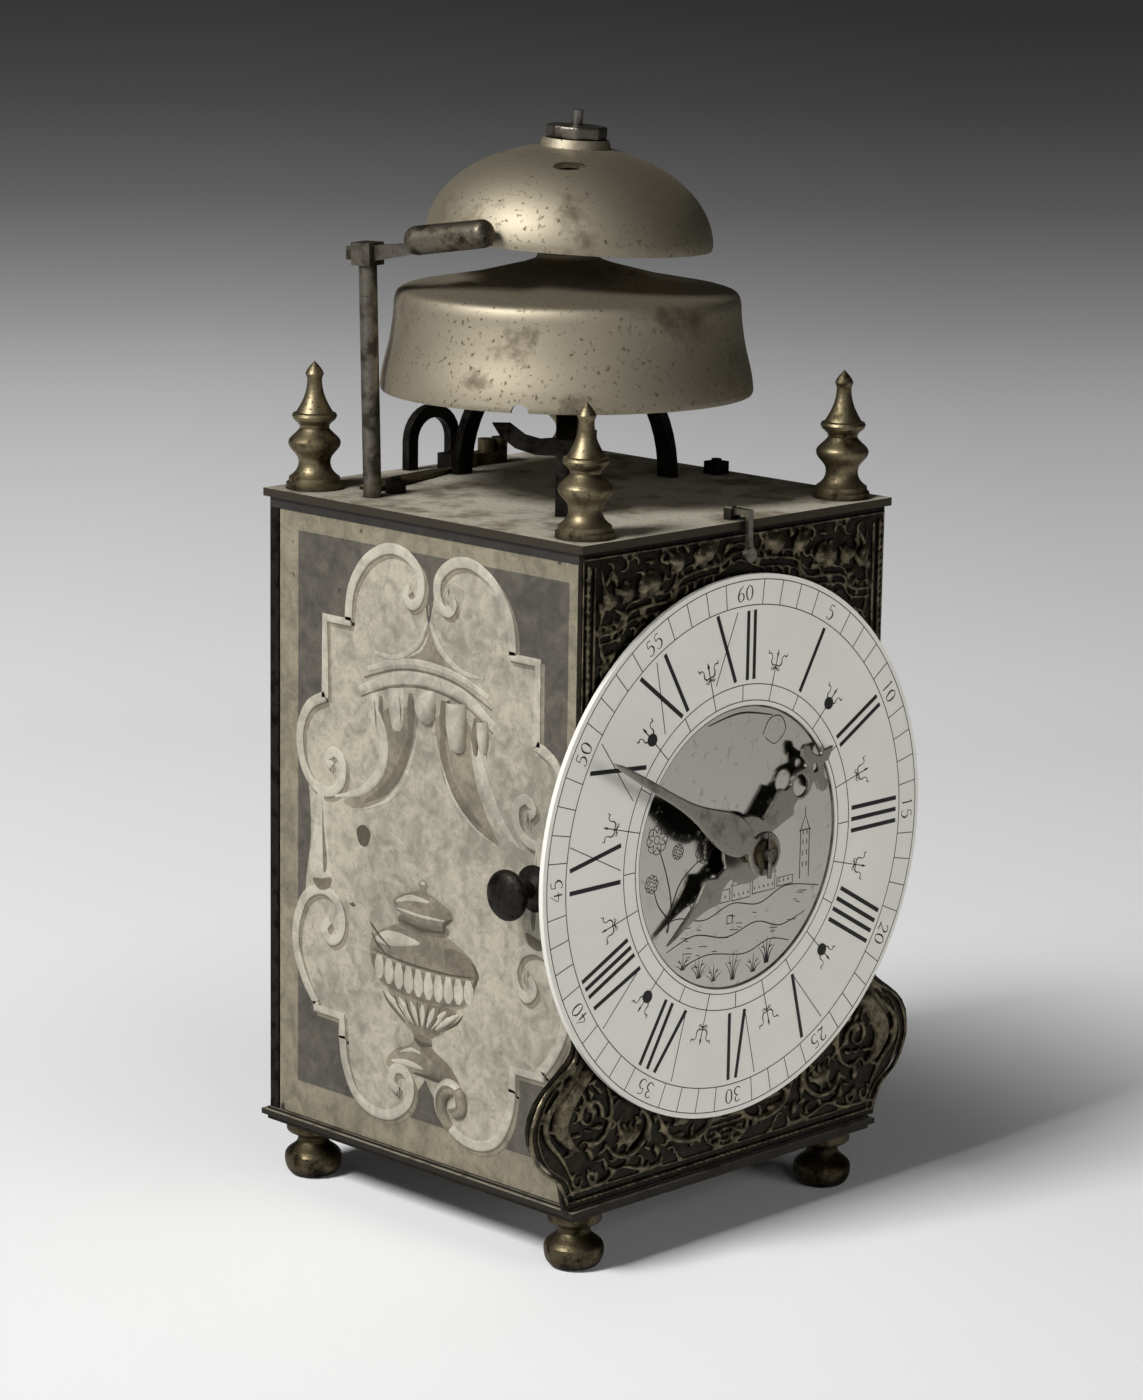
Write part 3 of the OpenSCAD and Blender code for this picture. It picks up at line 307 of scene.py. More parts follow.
def hand_finished(node, grain, passes, material):
    """Rounds a node's crisp edges as files and wear do, and puts the result in its place."""
    piece = copied(node, node + "_filed")
    apply_modifier(piece, "REMESH", mode="VOXEL", voxel_size=grain * MM, adaptivity=0.0)
    apply_modifier(piece, "SMOOTH", factor=0.5, iterations=passes)
    only(piece)
    bpy.ops.object.shade_smooth()
    take_place(piece, node, material)


# Materials

def feed(tree, node, links):
    """Sets a node's inputs, each from another node, from one of its outputs, or to a value."""
    for name, value in links.items():
        if isinstance(value, bpy.types.Node):
            value = value.outputs[0]
        if isinstance(value, bpy.types.NodeSocket):
            tree.links.new(value, node.inputs[name])
        else:
            node.inputs[name].default_value = value


def add(tree, kind, links=None, **settings):
    """Adds a node with its settings, and feeds its inputs."""
    node = tree.nodes.new("ShaderNode" + kind)
    for key, value in settings.items():
        setattr(node, key, value)
    feed(tree, node, links or {})
    return node


def empty_material(name):
    """Starts a material, and gives it with its nodes, its shader and the piece's own coordinates."""
    material = bpy.data.materials.get(name) or bpy.data.materials.new(name)
    material.use_nodes = True
    tree = material.node_tree
    tree.nodes.clear()
    shader = add(tree, "BsdfPrincipled")
    add(tree, "OutputMaterial", {"Surface": shader}, is_active_output=True)
    place = add(tree, "TexCoord").outputs["Object"]
    return material, tree, shader, place


def worn_metal(name, clean, stained, roughness, patch_mm=12, pit_mm=1.2, pit_depth=0.03,
               hollow_shade_mm=3.0, hollow_shade=0.15, cover=0.5, metallic=1.0, specular=0.5, edge=None,
               lit_side="top"):
    """Makes bare metal: rubbed clean in places, stained in patches and pitted, with painted shade in its
    crevices that also stands for dirt there.

    edge, when given, is a painted shade colour for the faces turned away from the lit side, which is the top
    or all but the back.
    """
    material, tree, shader, place = empty_material(name)
    patches = add(tree, "TexNoise", {"Vector": place, "Scale": 1000 / patch_mm, "Detail": 8.0,
                                     "Roughness": 0.62})
    spread = add(tree, "MapRange", {0: patches, 1: 0.62 - 0.3 * cover,
                                    2: 0.78 - 0.3 * cover})
    pits = add(tree, "TexNoise", {"Vector": place, "Scale": 1000 / pit_mm, "Detail": 3.0})
    speck = add(tree, "MapRange", {0: pits, 1: 0.60, 2: 0.72})
    both = add(tree, "Math", {0: spread, 1: speck}, operation="MAXIMUM",
               use_clamp=True)
    tone = add(tree, "Mix", {0: both, 6: shade(clean), 7: shade(stained)}, data_type="RGBA")
    shown = tone.outputs[2]
    # Painted shade: faces turned away from the top, or towards the back, take the darker edge colour, as if
    # in shade
    if edge:
        looks = add(tree, "SeparateXYZ", {0: add(tree, "NewGeometry").outputs["True Normal"]})
        if lit_side == "top":
            facing = add(tree, "MapRange", {0: looks.outputs["Z"], 1: 0.3, 2: 0.7})
        else:
            facing = add(tree, "MapRange", {0: looks.outputs["Y"], 1: 0.1, 2: 0.5, 3: 1.0, 4: 0.0})
        shaded_sides = add(tree, "Mix", {0: facing, 6: shade(edge), 7: shown}, data_type="RGBA")
        shown = shaded_sides.outputs[2]
    # Painted shade: ambient occlusion darkens the colour where the surface is sheltered, in crevices and
    # under nearby parts; it also stands for dirt there
    shelter = add(tree, "AmbientOcclusion", {"Distance": hollow_shade_mm * MM}, samples=6)
    occlusion_shade = add(tree, "MapRange", {0: shelter.outputs["AO"], 1: 0.35, 2: 0.85, 3: hollow_shade, 4: 1.0})
    stained_and_shaded = add(tree, "Mix", {0: 1.0, 6: shown, 7: occlusion_shade}, data_type="RGBA",
                blend_type="MULTIPLY")
    gloss = add(tree, "MapRange", {0: both, 3: roughness, 4: min(1.0, roughness + 0.22)})
    relief = add(tree, "Math", {0: patches, 1: pits}, operation="ADD")
    bump = add(tree, "Bump", {"Height": relief, "Distance": pit_depth * MM, "Strength": 0.6})
    feed(tree, shader, {"Base Color": stained_and_shaded.outputs[2], "Roughness": gloss, "Metallic": metallic,
                        "Specular IOR Level": specular, "Normal": bump})
    return material


def old_paint(name, colour, roughness=0.55, wear=0.5, chips=True):
    """Makes brushed oil paint on sheet iron: uneven, rubbed thin in patches, with small dark chips."""
    material, tree, shader, place = empty_material(name)
    patch_mm = 30
    clouds = add(tree, "TexNoise", {"Vector": place, "Scale": 1000 / patch_mm, "Detail": 10.0,
                                    "Roughness": 0.68})
    smudges = add(tree, "TexNoise", {"Vector": place, "Scale": 5000 / patch_mm, "Detail": 6.0,
                                     "Roughness": 0.6, "Distortion": 0.8})
    mixed = add(tree, "Math", {0: clouds, 1: smudges}, operation="ADD")
    lift = add(tree, "MapRange", {0: mixed, 1: 0.82, 2: 1.16, 3: 1.0 - 0.5 * wear,
                                  4: 1.0 + 0.2 * wear}, clamp=True)
    tone = add(tree, "Mix", {0: 1.0, 6: shade(colour), 7: lift}, data_type="RGBA",
               blend_type="MULTIPLY")
    flecks = add(tree, "TexNoise", {"Vector": place, "Scale": 650.0, "Detail": 6.0, "Roughness": 0.75})
    rub = add(tree, "MapRange", {0: flecks, 1: 0.5, 2: 0.72, 3: 0.0, 4: 0.7 * wear})
    rubbed = add(tree, "Mix", {0: rub, 6: tone.outputs[2], 7: shade(colour, 0.3)},
                 data_type="RGBA")
    last = rubbed.outputs[2]
    if chips:
        spots = add(tree, "TexVoronoi", {"Vector": place, "Scale": 110.0, "Randomness": 1.0})
        where = add(tree, "TexNoise", {"Vector": place, "Scale": 140.0, "Detail": 3.0})
        near = add(tree, "Math", {0: spots, 1: where},
                   operation="SUBTRACT")
        bare = add(tree, "MapRange", {0: near, 1: -0.52, 2: -0.44, 3: 1.0, 4: 0.0})
        chipped = add(tree, "Mix", {0: bare, 6: last, 7: shade(linear("#2a2622"))},
                      data_type="RGBA")
        last = chipped.outputs[2]
    gloss = add(tree, "MapRange", {0: clouds, 3: roughness - 0.08, 4: roughness + 0.1})
    bump = add(tree, "Bump", {"Height": flecks, "Distance": 0.02 * MM, "Strength": 0.5})
    feed(tree, shader, {"Base Color": last, "Roughness": gloss, "Normal": bump})
    return material


def raised_brass(name, rubbed_share):
    """Makes dark patinated brass sheet, chased in relief: rubbed bright on what stands proud, which also
    gives a painted highlight on the ridges, with patina and painted shade in the hollows.
    """
    material, tree, shader, place = empty_material(name)
    # Ambient occlusion picks the proud places: their rubbed colour is wear and also a painted highlight, and
    # the sheltered hollows take painted shade as well as patina
    shelter = add(tree, "AmbientOcclusion", {"Distance": 2.5 * MM}, samples=8)
    proud = add(tree, "MapRange", {0: shelter.outputs["AO"], 1: 0.45, 2: 1.0})
    clouds = add(tree, "TexNoise", {"Vector": place, "Scale": 260.0, "Detail": 8.0, "Roughness": 0.7})
    rubbed = add(tree, "MapRange", {0: clouds, 1: 0.4, 2: 0.7, 3: 0.15 * rubbed_share,
                                    4: rubbed_share})
    worn_and_highlit = add(tree, "Math", {0: proud, 1: rubbed}, operation="MULTIPLY")
    tone = add(tree, "Mix", {0: worn_and_highlit, 6: shade(colours().front_dark),
                             7: shade(colours().front_rubbed)}, data_type="RGBA")
    gloss = add(tree, "MapRange", {0: clouds, 3: 0.22, 4: 0.5})
    chasing = add(tree, "TexNoise", {"Vector": place, "Scale": 450.0, "Detail": 5.0})
    bump = add(tree, "Bump", {"Height": chasing, "Distance": 0.35 * MM, "Strength": 0.8})
    feed(tree, shader, {"Base Color": tone.outputs[2], "Metallic": 0.9, "Roughness": gloss,
                        "Normal": bump})
    return material


def silvered_white():
    """Makes a silvered brass ring: a dull white skin with a faint rubbed grain and tarnish."""
    material, tree, shader, place = empty_material("silvered_brass_ring")
    clouds = add(tree, "TexNoise", {"Vector": place, "Scale": 40.0, "Detail": 8.0, "Roughness": 0.6})
    lift = add(tree, "MapRange", {0: clouds, 1: 0.3, 2: 0.7, 3: 0.94, 4: 1.0})
    tone = add(tree, "Mix", {0: 1.0, 6: shade(colours().dial_white), 7: lift},
               data_type="RGBA", blend_type="MULTIPLY")
    grain = add(tree, "TexNoise", {"Vector": place, "Scale": 2500.0, "Detail": 2.0})
    bump = add(tree, "Bump", {"Height": grain, "Distance": 0.01 * MM, "Strength": 0.4})
    feed(tree, shader, {"Base Color": tone.outputs[2], "Roughness": 0.5, "Normal": bump})
    return material


def colour_setting(label, about, code):
    """Gives a colour that can be set in the panel."""
    return bpy.props.FloatVectorProperty(name=label, description=about, subtype="COLOR", min=0, max=1,
                                         default=linear(code))


def size_setting(label, about, value, low, high):
    """Gives a size in millimetres that can be set in the panel."""
    return bpy.props.FloatProperty(name=label, description=about, default=value, min=low, max=high)


class ClockColours(bpy.types.PropertyGroup):
    """Colours of the clock's metals and paints."""
    brass: colour_setting("Brass", "Finials, stop bar, collet and hammer spring", "#857a60")
    bell_metal: colour_setting("Bell metal", "The two bells and their washer", "#aaa18d")
    iron: colour_setting("Iron", "Posts, back, bell stand and knobs", "#34312d")
    steel: colour_setting("Steel", "Arbors and upright bars", "#8c8880")
    hand_steel: colour_setting("Hands", "The filed steel hands", "#a8a49a")
    disc: colour_setting("Dial centre", "The polished centre of the dial", "#e4e0d6")
    dial_white: colour_setting("Chapter ring", "The silvered ring", "#f0ede4")
    ink: colour_setting("Wax", "The black wax in the dial's figures", "#14120f")
    # The raised front's colours: patina with painted shade in the hollows, and wear with a painted highlight
    # on the ridges
    front_dark: colour_setting("Front, sheltered", "Patina in the hollows of the raised front", "#15130f")
    front_rubbed: colour_setting("Front, rubbed", "Metal on the high places of the front", "#a2967a")
    border_paint: colour_setting("Door border", "The buff border of the doors", "#8a826d")
    field_paint: colour_setting("Door corners", "The dark fields in the doors' corners", "#5a554c")
    stone_paint: colour_setting("Door middle", "The stone coloured middle of the doors", "#aca593")
    band_paint: colour_setting("Door bands", "The pale strapwork of the doors", "#b9b3a2")
    shade_paint: colour_setting("Door shading", "The brown shading of the painted ornament", "#756d5c")


class DialSizes(bpy.types.PropertyGroup):
    """Radii and line widths on the chapter ring."""
    track_outer: size_setting("Minute track outside", "Radius in millimetres", 80.9, 70, 82)
    track_inner: size_setting("Minute track inside", "Radius in millimetres", 73.3, 60, 80)
    quarter_outer: size_setting("Quarter track outside", "Radius in millimetres", 49.5, 45, 60)
    quarter_inner: size_setting("Quarter track inside", "Radius in millimetres", 44.6, 43, 50)
    hour_outer: size_setting("Hour figures outside", "Radius in millimetres", 71.7, 60, 73)
    hour_inner: size_setting("Hour figures inside", "Radius in millimetres", 50.8, 49, 60)
    hairline: size_setting("Hairline", "Width of the thin lines in millimetres", 0.32, 0.1, 1)
    bold: size_setting("Bold stroke", "Width of the thick strokes in millimetres", 1.5, 0.5, 3)


def angle_setting(label, about, degrees):
    """Gives an angle that can be set in the panel."""
    return bpy.props.FloatProperty(name=label, description=about, subtype="ANGLE",
                                   default=math.radians(degrees))


def power_setting(label, about, watts):
    """Gives a lamp's power in watts that can be set in the panel."""
    return bpy.props.FloatProperty(name=label, description=about, default=watts)


class ClockStage(bpy.types.PropertyGroup):
    """The camera's place and the light."""
    azimuth: angle_setting("Azimuth", "Camera direction round the clock", -45.35)
    elevation: angle_setting("Elevation", "Camera height as an angle", 12.07)
    roll: angle_setting("Roll", "Camera roll", 0.87)
    distance: bpy.props.FloatProperty(
        name="Distance", description="Camera to target", unit="LENGTH", default=1.2596)
    lens: bpy.props.FloatProperty(
        name="Lens", description="Focal length in millimetres for a frame 36 mm high", default=105.1)
    key_power: power_setting("Key lamp", "Watts of the lamp at the left", 36.0)
    fill_power: power_setting("Fill lamp", "Watts of the broad lamp in front", 14.5)
    front_power: power_setting("Front lamp", "Watts of the small lamp that picks out the relief", 2.0)
    wall_distance: bpy.props.FloatProperty(
        name="Wall", description="Distance of the backdrop's wall", unit="LENGTH", default=2.3)


def colours():
    return bpy.context.scene.clock_colours


def made(name, maker, *values, **options):
    """Gives a material that is already made, or makes it."""
    return bpy.data.materials.get(name) or maker(name, *values, **options)


# Each metal finish: its colour where clean, which is a hex code or one of the panel's colours, its
# colour where stained, its roughness, what else it needs, and the nodes that carry it
FINISHES = {
    # Turned brass like the finials', darker: painted shade for the feet, which stand in the shadow under the
    # case
    "darkened_turned_brass": ("#665c47", "#2b251a", 0.44, {
        "patch_mm": 6, "pit_mm": 0.8, "hollow_shade_mm": 4.0, "hollow_shade": 0.08, "cover": 0.55},
        "foot_front_left foot_front_right foot_rear_left foot_rear_right"),
    # The base plate: rubbed grey on its ledge, with painted shade on its upright edges
    "base_plate_iron": ("#a39c8c", "#6d6658", 0.6, {
        "patch_mm": 6, "hollow_shade_mm": 3, "hollow_shade": 0.3, "cover": 0.4, "metallic": 0.2,
        "specular": 0.2, "edge": linear("#2f2b25")},
        "bottom_plate"),
    # Iron handled bare: grey where it is rubbed, brown between
    "rubbed_iron": ("#7b766c", "#443e36", 0.42, {
        "patch_mm": 7, "pit_mm": 1.0, "pit_depth": 0.05, "hollow_shade_mm": 3, "hollow_shade": 0.3, "cover": 0.5},
        "hammer_arbor hammer_arm hammer_wedge"),
    # Cast and turned brass, waxed long ago: dull and satin, with brown stains and painted shade in its
    # grooves
    "aged_turned_brass": ("brass", "#39301f", 0.46, {
        "patch_mm": 7, "pit_mm": 0.8, "hollow_shade_mm": 4.0, "hollow_shade": 0.1, "cover": 0.45},
        "finial_front_left finial_front_right finial_rear_left finial_rear_right stop_bar hand_collet"),
    # Hammered plate brass of the wheels: yellower and less handled
    "plate_brass": ("#b9a068", "#6d5a35", 0.35, {
        "patch_mm": 9, "cover": 0.3, "hollow_shade": 0.3},
        "hour_wheel minute_wheel escape_wheel third_wheel centre_wheel going_great_wheel "
        "strike_great_wheel count_wheel pin_wheel warning_wheel fly pendulum"),
    # The flat top: dull sheet with wide dark stains, a painted shadow of the bell from ambient occlusion 45
    # mm wide, and painted shade on its upright edges
    "stained_sheet_brass": ("#b9b2a1", "#7f7766", 0.72, {
        "patch_mm": 16, "pit_mm": 1.6, "hollow_shade_mm": 45, "hollow_shade": 0.08, "cover": 0.5,
        "metallic": 0.0, "specular": 0.15, "edge": linear("#37322a")},
        "top_plate"),
    # Cast bell bronze turned on the lathe: pale, dull, with casting pits and spots of tarnish
    "cast_bell_bronze": ("bell_metal", "#6f6655", 0.6, {
        "patch_mm": 18, "pit_mm": 1.5, "pit_depth": 0.04, "hollow_shade_mm": 2, "hollow_shade": 0.4, "cover": 0.2},
        "bell_washer"),
    # Forged iron with an old brown black skin: dull, slightly uneven from the hammer
    "forged_iron": ("iron", "#191714", 0.5, {
        "patch_mm": 6, "pit_mm": 1.0, "pit_depth": 0.06, "hollow_shade_mm": 3, "hollow_shade": 0.4, "cover": 0.5},
        "corner_posts back_plate hanging_hoop bell_stand bell_spacer plate_nuts left_knob right_knob"),
    # The little latch: bright from the finger
    "bright_rubbed_steel": ("#9b968c", "#5d564c", 0.3, {
        "patch_mm": 5, "hollow_shade_mm": 1, "hollow_shade": 0.6, "cover": 0.35},
        "front_latch"),
    # Filed steel, grey with a little rust in patches and painted shade in the low places
    "filed_steel": ("steel", "#4a4038", 0.34, {
        "patch_mm": 8, "pit_mm": 0.9, "hollow_shade_mm": 2, "hollow_shade": 0.4, "cover": 0.4},
        "bell_post front_bar middle_bar rear_bar centre_arbor taper_pin minute_stud anchor "
        "detent_arbor"),
    # Polished sheet: reflects the hands, with a faint film of tarnish
    "polished_dial_sheet": ("disc", "#d9d5ca", 0.14, {
        "patch_mm": 30, "pit_mm": 3.0, "pit_depth": 0.001, "hollow_shade_mm": 1, "hollow_shade": 0.9,
        "cover": 0.15},
        "dial_centre"),
    # The hammer head: struck, rough and grey brown
    "struck_bronze": ("#746d60", "#37322a", 0.5, {
        "patch_mm": 5, "pit_mm": 0.9, "pit_depth": 0.08, "hollow_shade_mm": 4, "hollow_shade": 0.2, "cover": 0.5},
        ""),
    # Filed and polished steel hands: bright in front, with painted shade making their backs black, so that
    # their reflections in the dial show dark
    "polished_hand_steel": ("hand_steel", "#7d776d", 0.28, {
        "patch_mm": 9, "pit_mm": 0.8, "pit_depth": 0.01, "hollow_shade_mm": 2, "hollow_shade": 0.4, "cover": 0.3,
        "edge": linear("#1b1917"), "lit_side": "front"},
        ""),
}


def metal(name):
    """Gives a metal finish, made when it is first asked for."""
    clean, stained, roughness, options, _ = FINISHES[name]
    clean = linear(clean) if clean.startswith("#") else getattr(colours(), clean)
    return made(name, worn_metal, clean, linear(stained), roughness, **options)


def black_wax():
    """Black sealing wax, melted into engraved lines and rubbed flush."""
    return made("black_wax", old_paint, colours().ink, roughness=0.45, wear=0.3, chips=False)


def paint(name, colour, **options):
    """A colour of the doors' oil paint."""
    return made("oil_paint_" + name, old_paint, colour, **options)


# The stage. Lengths are in metres

LOOK_AT = Vector((0, 0.0072, 0.15422))
LOOK_ASIDE = -0.00085

# The lamps: place, size, the setting for the power, and whether metal reflects the lamp
LAMPS = {
    "key_lamp": ((-1.4, 0.1, 1.45), 0.5, "key_power", True),
    "fill_lamp": ((0.1, -1.9, 0.2), 1.0, "fill_power", False),
    "front_lamp": ((-0.9, -1.6, 1.0), 0.35, "front_power", True),
}
LAMP_AIM = Vector((0, 0, 0.16))

# The paper's glowing tones, a painted fall-off of the light, by the distance along its floor and up its wall
PAPER_LENGTH = 3.0
PAPER_TONES = [
    (0.0, "#efefef"), (0.52, "#dddddd"), (0.73, "#d4d4d4"), (0.99, "#cacaca"), (1.33, "#bdbdbd"),
    (1.8, "#a9a9a9"), (2.08, "#999999"), (2.2, "#858585"), (2.29, "#717171"), (2.36, "#5e5e5e"),
    (2.48, "#444444"), (2.57, "#343434"),
]


class CLOCK_OT_stage(bpy.types.Operator):
    """Set up the camera, the pale sweep of paper and the studio lamps"""
    bl_idname = "clock.stage"
    bl_label = "Stage"

    def execute(self, context):
        scene = context.scene
        setup = scene.clock_stage
        scene.view_settings.view_transform = "Standard"
        az = setup.azimuth
        el = setup.elevation
        back = Vector((math.sin(az) * math.cos(el), -math.cos(az) * math.cos(el), math.sin(el)))
        right = Vector((math.cos(az), math.sin(az), 0))
        up = back.cross(right)
        roll_right = right * math.cos(setup.roll) + up * math.sin(setup.roll)
        roll_up = up * math.cos(setup.roll) - right * math.sin(setup.roll)
        target = LOOK_AT + right * LOOK_ASIDE
        bpy.ops.object.select_all(action="DESELECT")
        bpy.ops.object.camera_add()
        camera = context.active_object
        camera.name = "camera"
        turn = Matrix((roll_right, roll_up, back)).transposed().to_4x4()
        camera.matrix_world = Matrix.Translation(target + back * setup.distance) @ turn
        camera.data.sensor_fit = "VERTICAL"
        camera.data.sensor_height = 36
        camera.data.lens = setup.lens
        scene.camera = camera
        self.sweep(setup, az)
        self.lamps(setup)
        self.dark_card()
        self.surroundings(scene)
        return {"FINISHED"}

    def sweep(self, setup, az):
        """Makes the floor and wall as one bent sheet, turned square to the camera."""
        bpy.ops.object.select_all(action="DESELECT")
        bpy.ops.mesh.primitive_plane_add(size=2, location=(0, 0, 0))
        paper = bpy.context.active_object
        paper.name = "paper_sweep"
        wall = setup.wall_distance
        for v in paper.data.vertices:
            v.co.x *= 4.0
            v.co.y = wall if v.co.y > 0 else -3.0
        bpy.ops.object.mode_set(mode="EDIT")
        bpy.ops.mesh.select_mode(type="EDGE")
        bpy.ops.mesh.select_all(action="DESELECT")
        bpy.ops.object.mode_set(mode="OBJECT")
        for edge in paper.data.edges:
            edge.select = all(paper.data.vertices[i].co.y > 0 for i in edge.vertices)
        bpy.ops.object.mode_set(mode="EDIT")
        bpy.ops.mesh.extrude_region_move(TRANSFORM_OT_translate={"value": (0, 0, 1.6)})
        bpy.ops.object.mode_set(mode="OBJECT")
        for edge in paper.data.edges:
            ends = [paper.data.vertices[i].co for i in edge.vertices]
            edge.select = all(p.y > 0 and p.z < 0.1 for p in ends)
        for v in paper.data.vertices:
            v.select = v.co.y > 0 and v.co.z < 0.1
        for face in paper.data.polygons:
            face.select = False
        bpy.ops.object.mode_set(mode="EDIT")
        bpy.ops.mesh.bevel(offset=0.25, segments=12)
        bpy.ops.object.mode_set(mode="OBJECT")
        paper.rotation_euler.z = az
        bpy.ops.object.transform_apply(location=True, rotation=True, scale=True)
        bpy.ops.object.shade_smooth()
        dress(paper, self.paper(az))

    def paper(self, az):
        """White background paper that glows for the camera and for reflections, with a painted fall-off to
        grey with its distance from the lamps and painted shade towards the right.
        """
        material, tree, shader, place = empty_material("background_paper")
        away = add(tree, "VectorMath", {0: place, 1: (-math.sin(az), math.cos(az), 1.0)},
                   operation="DOT_PRODUCT")
        along = add(tree, "MapRange", {0: away.outputs["Value"], 1: 0.0, 2: PAPER_LENGTH})
        painted_falloff = add(tree, "ValToRGB", {0: along})
        ramp = painted_falloff.color_ramp
        while len(ramp.elements) > 1:
            ramp.elements.remove(ramp.elements[-1])
        for i, (where, code) in enumerate(PAPER_TONES):
            stop = ramp.elements[0] if i == 0 else ramp.elements.new(where / PAPER_LENGTH)
            stop.position = where / PAPER_LENGTH
            stop.color = shade(linear(code))
        side = add(tree, "VectorMath", {0: place, 1: (math.cos(az), math.sin(az), 0.0)},
                   operation="DOT_PRODUCT")
        # Painted shade: the glow dims towards the picture's right
        painted_side_shade = add(tree, "MapRange", {0: side.outputs["Value"], 1: -0.3, 2: 0.3, 3: 1.04, 4: 0.82})
        painted_tone = add(tree, "Mix", {0: 1.0, 6: painted_falloff, 7: painted_side_shade}, data_type="RGBA",
                    blend_type="MULTIPLY")
        glow = add(tree, "Emission", {"Color": painted_tone.outputs[2]})
        rays = add(tree, "LightPath")
        seen = add(tree, "Math", {0: rays.outputs["Is Camera Ray"], 1: rays.outputs["Is Glossy Ray"]},
                   operation="MAXIMUM")
        # Painted light: away from the clock the glow stands in for the lit floor for the camera, which lifts
        # the real shadow there
        far = add(tree, "MapRange", {0: away.outputs["Value"], 1: 0.12, 2: 0.8},
                  interpolation_type="SMOOTHSTEP")
        reach = add(tree, "VectorMath", {0: place}, operation="LENGTH")
        clear = add(tree, "MapRange", {0: reach.outputs["Value"], 1: 0.12, 2: 0.36, 4: 0.85},
                    interpolation_type="SMOOTHSTEP")
        direct = add(tree, "Math", {0: clear, 1: rays.outputs["Is Camera Ray"]},
                     operation="MULTIPLY")
        most = add(tree, "Math", {0: far, 1: direct}, operation="MAXIMUM")
        share = add(tree, "Math", {0: seen, 1: most}, operation="MULTIPLY")
        lost = add(tree, "Math", {0: rays.outputs["Is Diffuse Ray"], 1: far},
                   operation="MULTIPLY")
        sent = add(tree, "MapRange", {0: lost, 3: 0.7, 4: 0.05})
        white = add(tree, "Mix", {0: rays.outputs["Is Camera Ray"], 6: sent,
                                  7: (1.0, 1.0, 1.0, 1)}, data_type="RGBA")
        feed(tree, shader, {"Base Color": white.outputs[2], "Roughness": 0.9, "Specular IOR Level": 0.1})
        both = add(tree, "MixShader", {0: share, 1: shader, 2: glow})
        output = next(n for n in tree.nodes if n.type == "OUTPUT_MATERIAL")
        feed(tree, output, {"Surface": both})
        return material

    def lamps(self, setup):
        """Adds the key lamp at the picture's left, the broad fill and the small lamp in front."""
        for name, (where, size, power, mirrors) in LAMPS.items():
            bpy.ops.object.select_all(action="DESELECT")
            bpy.ops.object.light_add(type="AREA", location=where)
            lamp = bpy.context.active_object
            lamp.name = name
            lamp.data.energy = getattr(setup, power)
            lamp.data.size = size
            lamp.visible_glossy = mirrors
            lamp.rotation_euler = (LAMP_AIM - Vector(where)).to_track_quat("-Z", "Y").to_euler()

    def dark_card(self):
        """Stands a black card out of the picture at the right, for the metal to reflect."""
        bpy.ops.object.select_all(action="DESELECT")
        bpy.ops.mesh.primitive_plane_add(size=1, location=(0.62, 0.45, 0.42),
                                         rotation=(0, math.radians(90), 0))
        card = bpy.context.active_object
        card.name = "black_card"
        card.scale = (0.9, 1.35, 1)
        bpy.ops.object.transform_apply(location=True, rotation=True, scale=True)
        material, tree, shader, place = empty_material("black_card")
        feed(tree, shader, {"Base Color": (0.01, 0.01, 0.01, 1), "Roughness": 1.0})
        dress(card, material)
        card.visible_camera = False
        card.visible_shadow = False
        card.visible_diffuse = False

    def surroundings(self, scene):
        """Makes the studio round the clock: pale at the lamps' side, dark at the other."""
        world = bpy.data.worlds.new("studio")
        scene.world = world
        world.use_nodes = True
        tree = world.node_tree
        tree.nodes.clear()
        ray = add(tree, "TexCoord").outputs["Generated"]
        lit = add(tree, "VectorMath", {0: ray, 1: (-0.9, -0.1, 0.0)}, operation="DOT_PRODUCT")
        level = add(tree, "MapRange", {0: lit.outputs["Value"], 1: -0.3, 2: 0.8, 3: 0.01, 4: 0.28})
        rise = add(tree, "SeparateXYZ", {0: ray})
        above = add(tree, "MapRange", {0: rise.outputs["Z"], 1: 0.1, 2: 0.75, 3: 1.0, 4: 0.15})
        both = add(tree, "Math", {0: level, 1: above}, operation="MULTIPLY")
        glow = add(tree, "Background", {"Color": both, "Strength": 1.0})
        add(tree, "OutputWorld", {"Surface": glow})


# The metal that carries over from the fixed model

class CLOCK_OT_metals(bpy.types.Operator):
    """Give every carried-over piece of metal its finish"""
    bl_idname = "clock.metals"
    bl_label = "Metal finishes"

    def execute(self, context):
        for name, finish in FINISHES.items():
            for node in finish[-1].split():
                dress(frame["nodes"][node], metal(name))
        dress(frame["nodes"]["ring_pins"], black_wax())
        dress(frame["nodes"]["chapter_ring"], silvered_white())
        dress(frame["nodes"]["front_plate"], raised_brass("patinated_ground_brass", 0.12))
        border = paint("buff_border", colours().border_paint, wear=0.7)
        dress(frame["nodes"]["left_door"], border)
        dress(frame["nodes"]["right_door"], border)
        return {"FINISHED"}


# Radius at the rim and at the shoulder, height and wall, in millimetres
LOWER_BELL = (56.8, 52.4, 41.5, 2.2)
# Radius, height and wall, in millimetres
UPPER_BELL = (43.5, 28, 2.2)
# In metres: the chip in the lower rim, the upper bell's lift on its spacer, and the slot in its crown
CHIP_TOWARD = Vector((-0.859, -0.513, 0))
CHIP_REACH = 0.0568
CHIP_RADIUS = 0.0026
UPPER_LIFT = 0.0035
SLOT_TOWARD = Vector((-0.70, -0.69, 0))
SLOT_REACH = 0.0236
SLOT_UP = 0.0262
SLOT_RADIUS = 0.0030
SLOT_LENGTH = 0.0120
SLOT_AXIS = Vector((0.75, -0.66, 0.0))


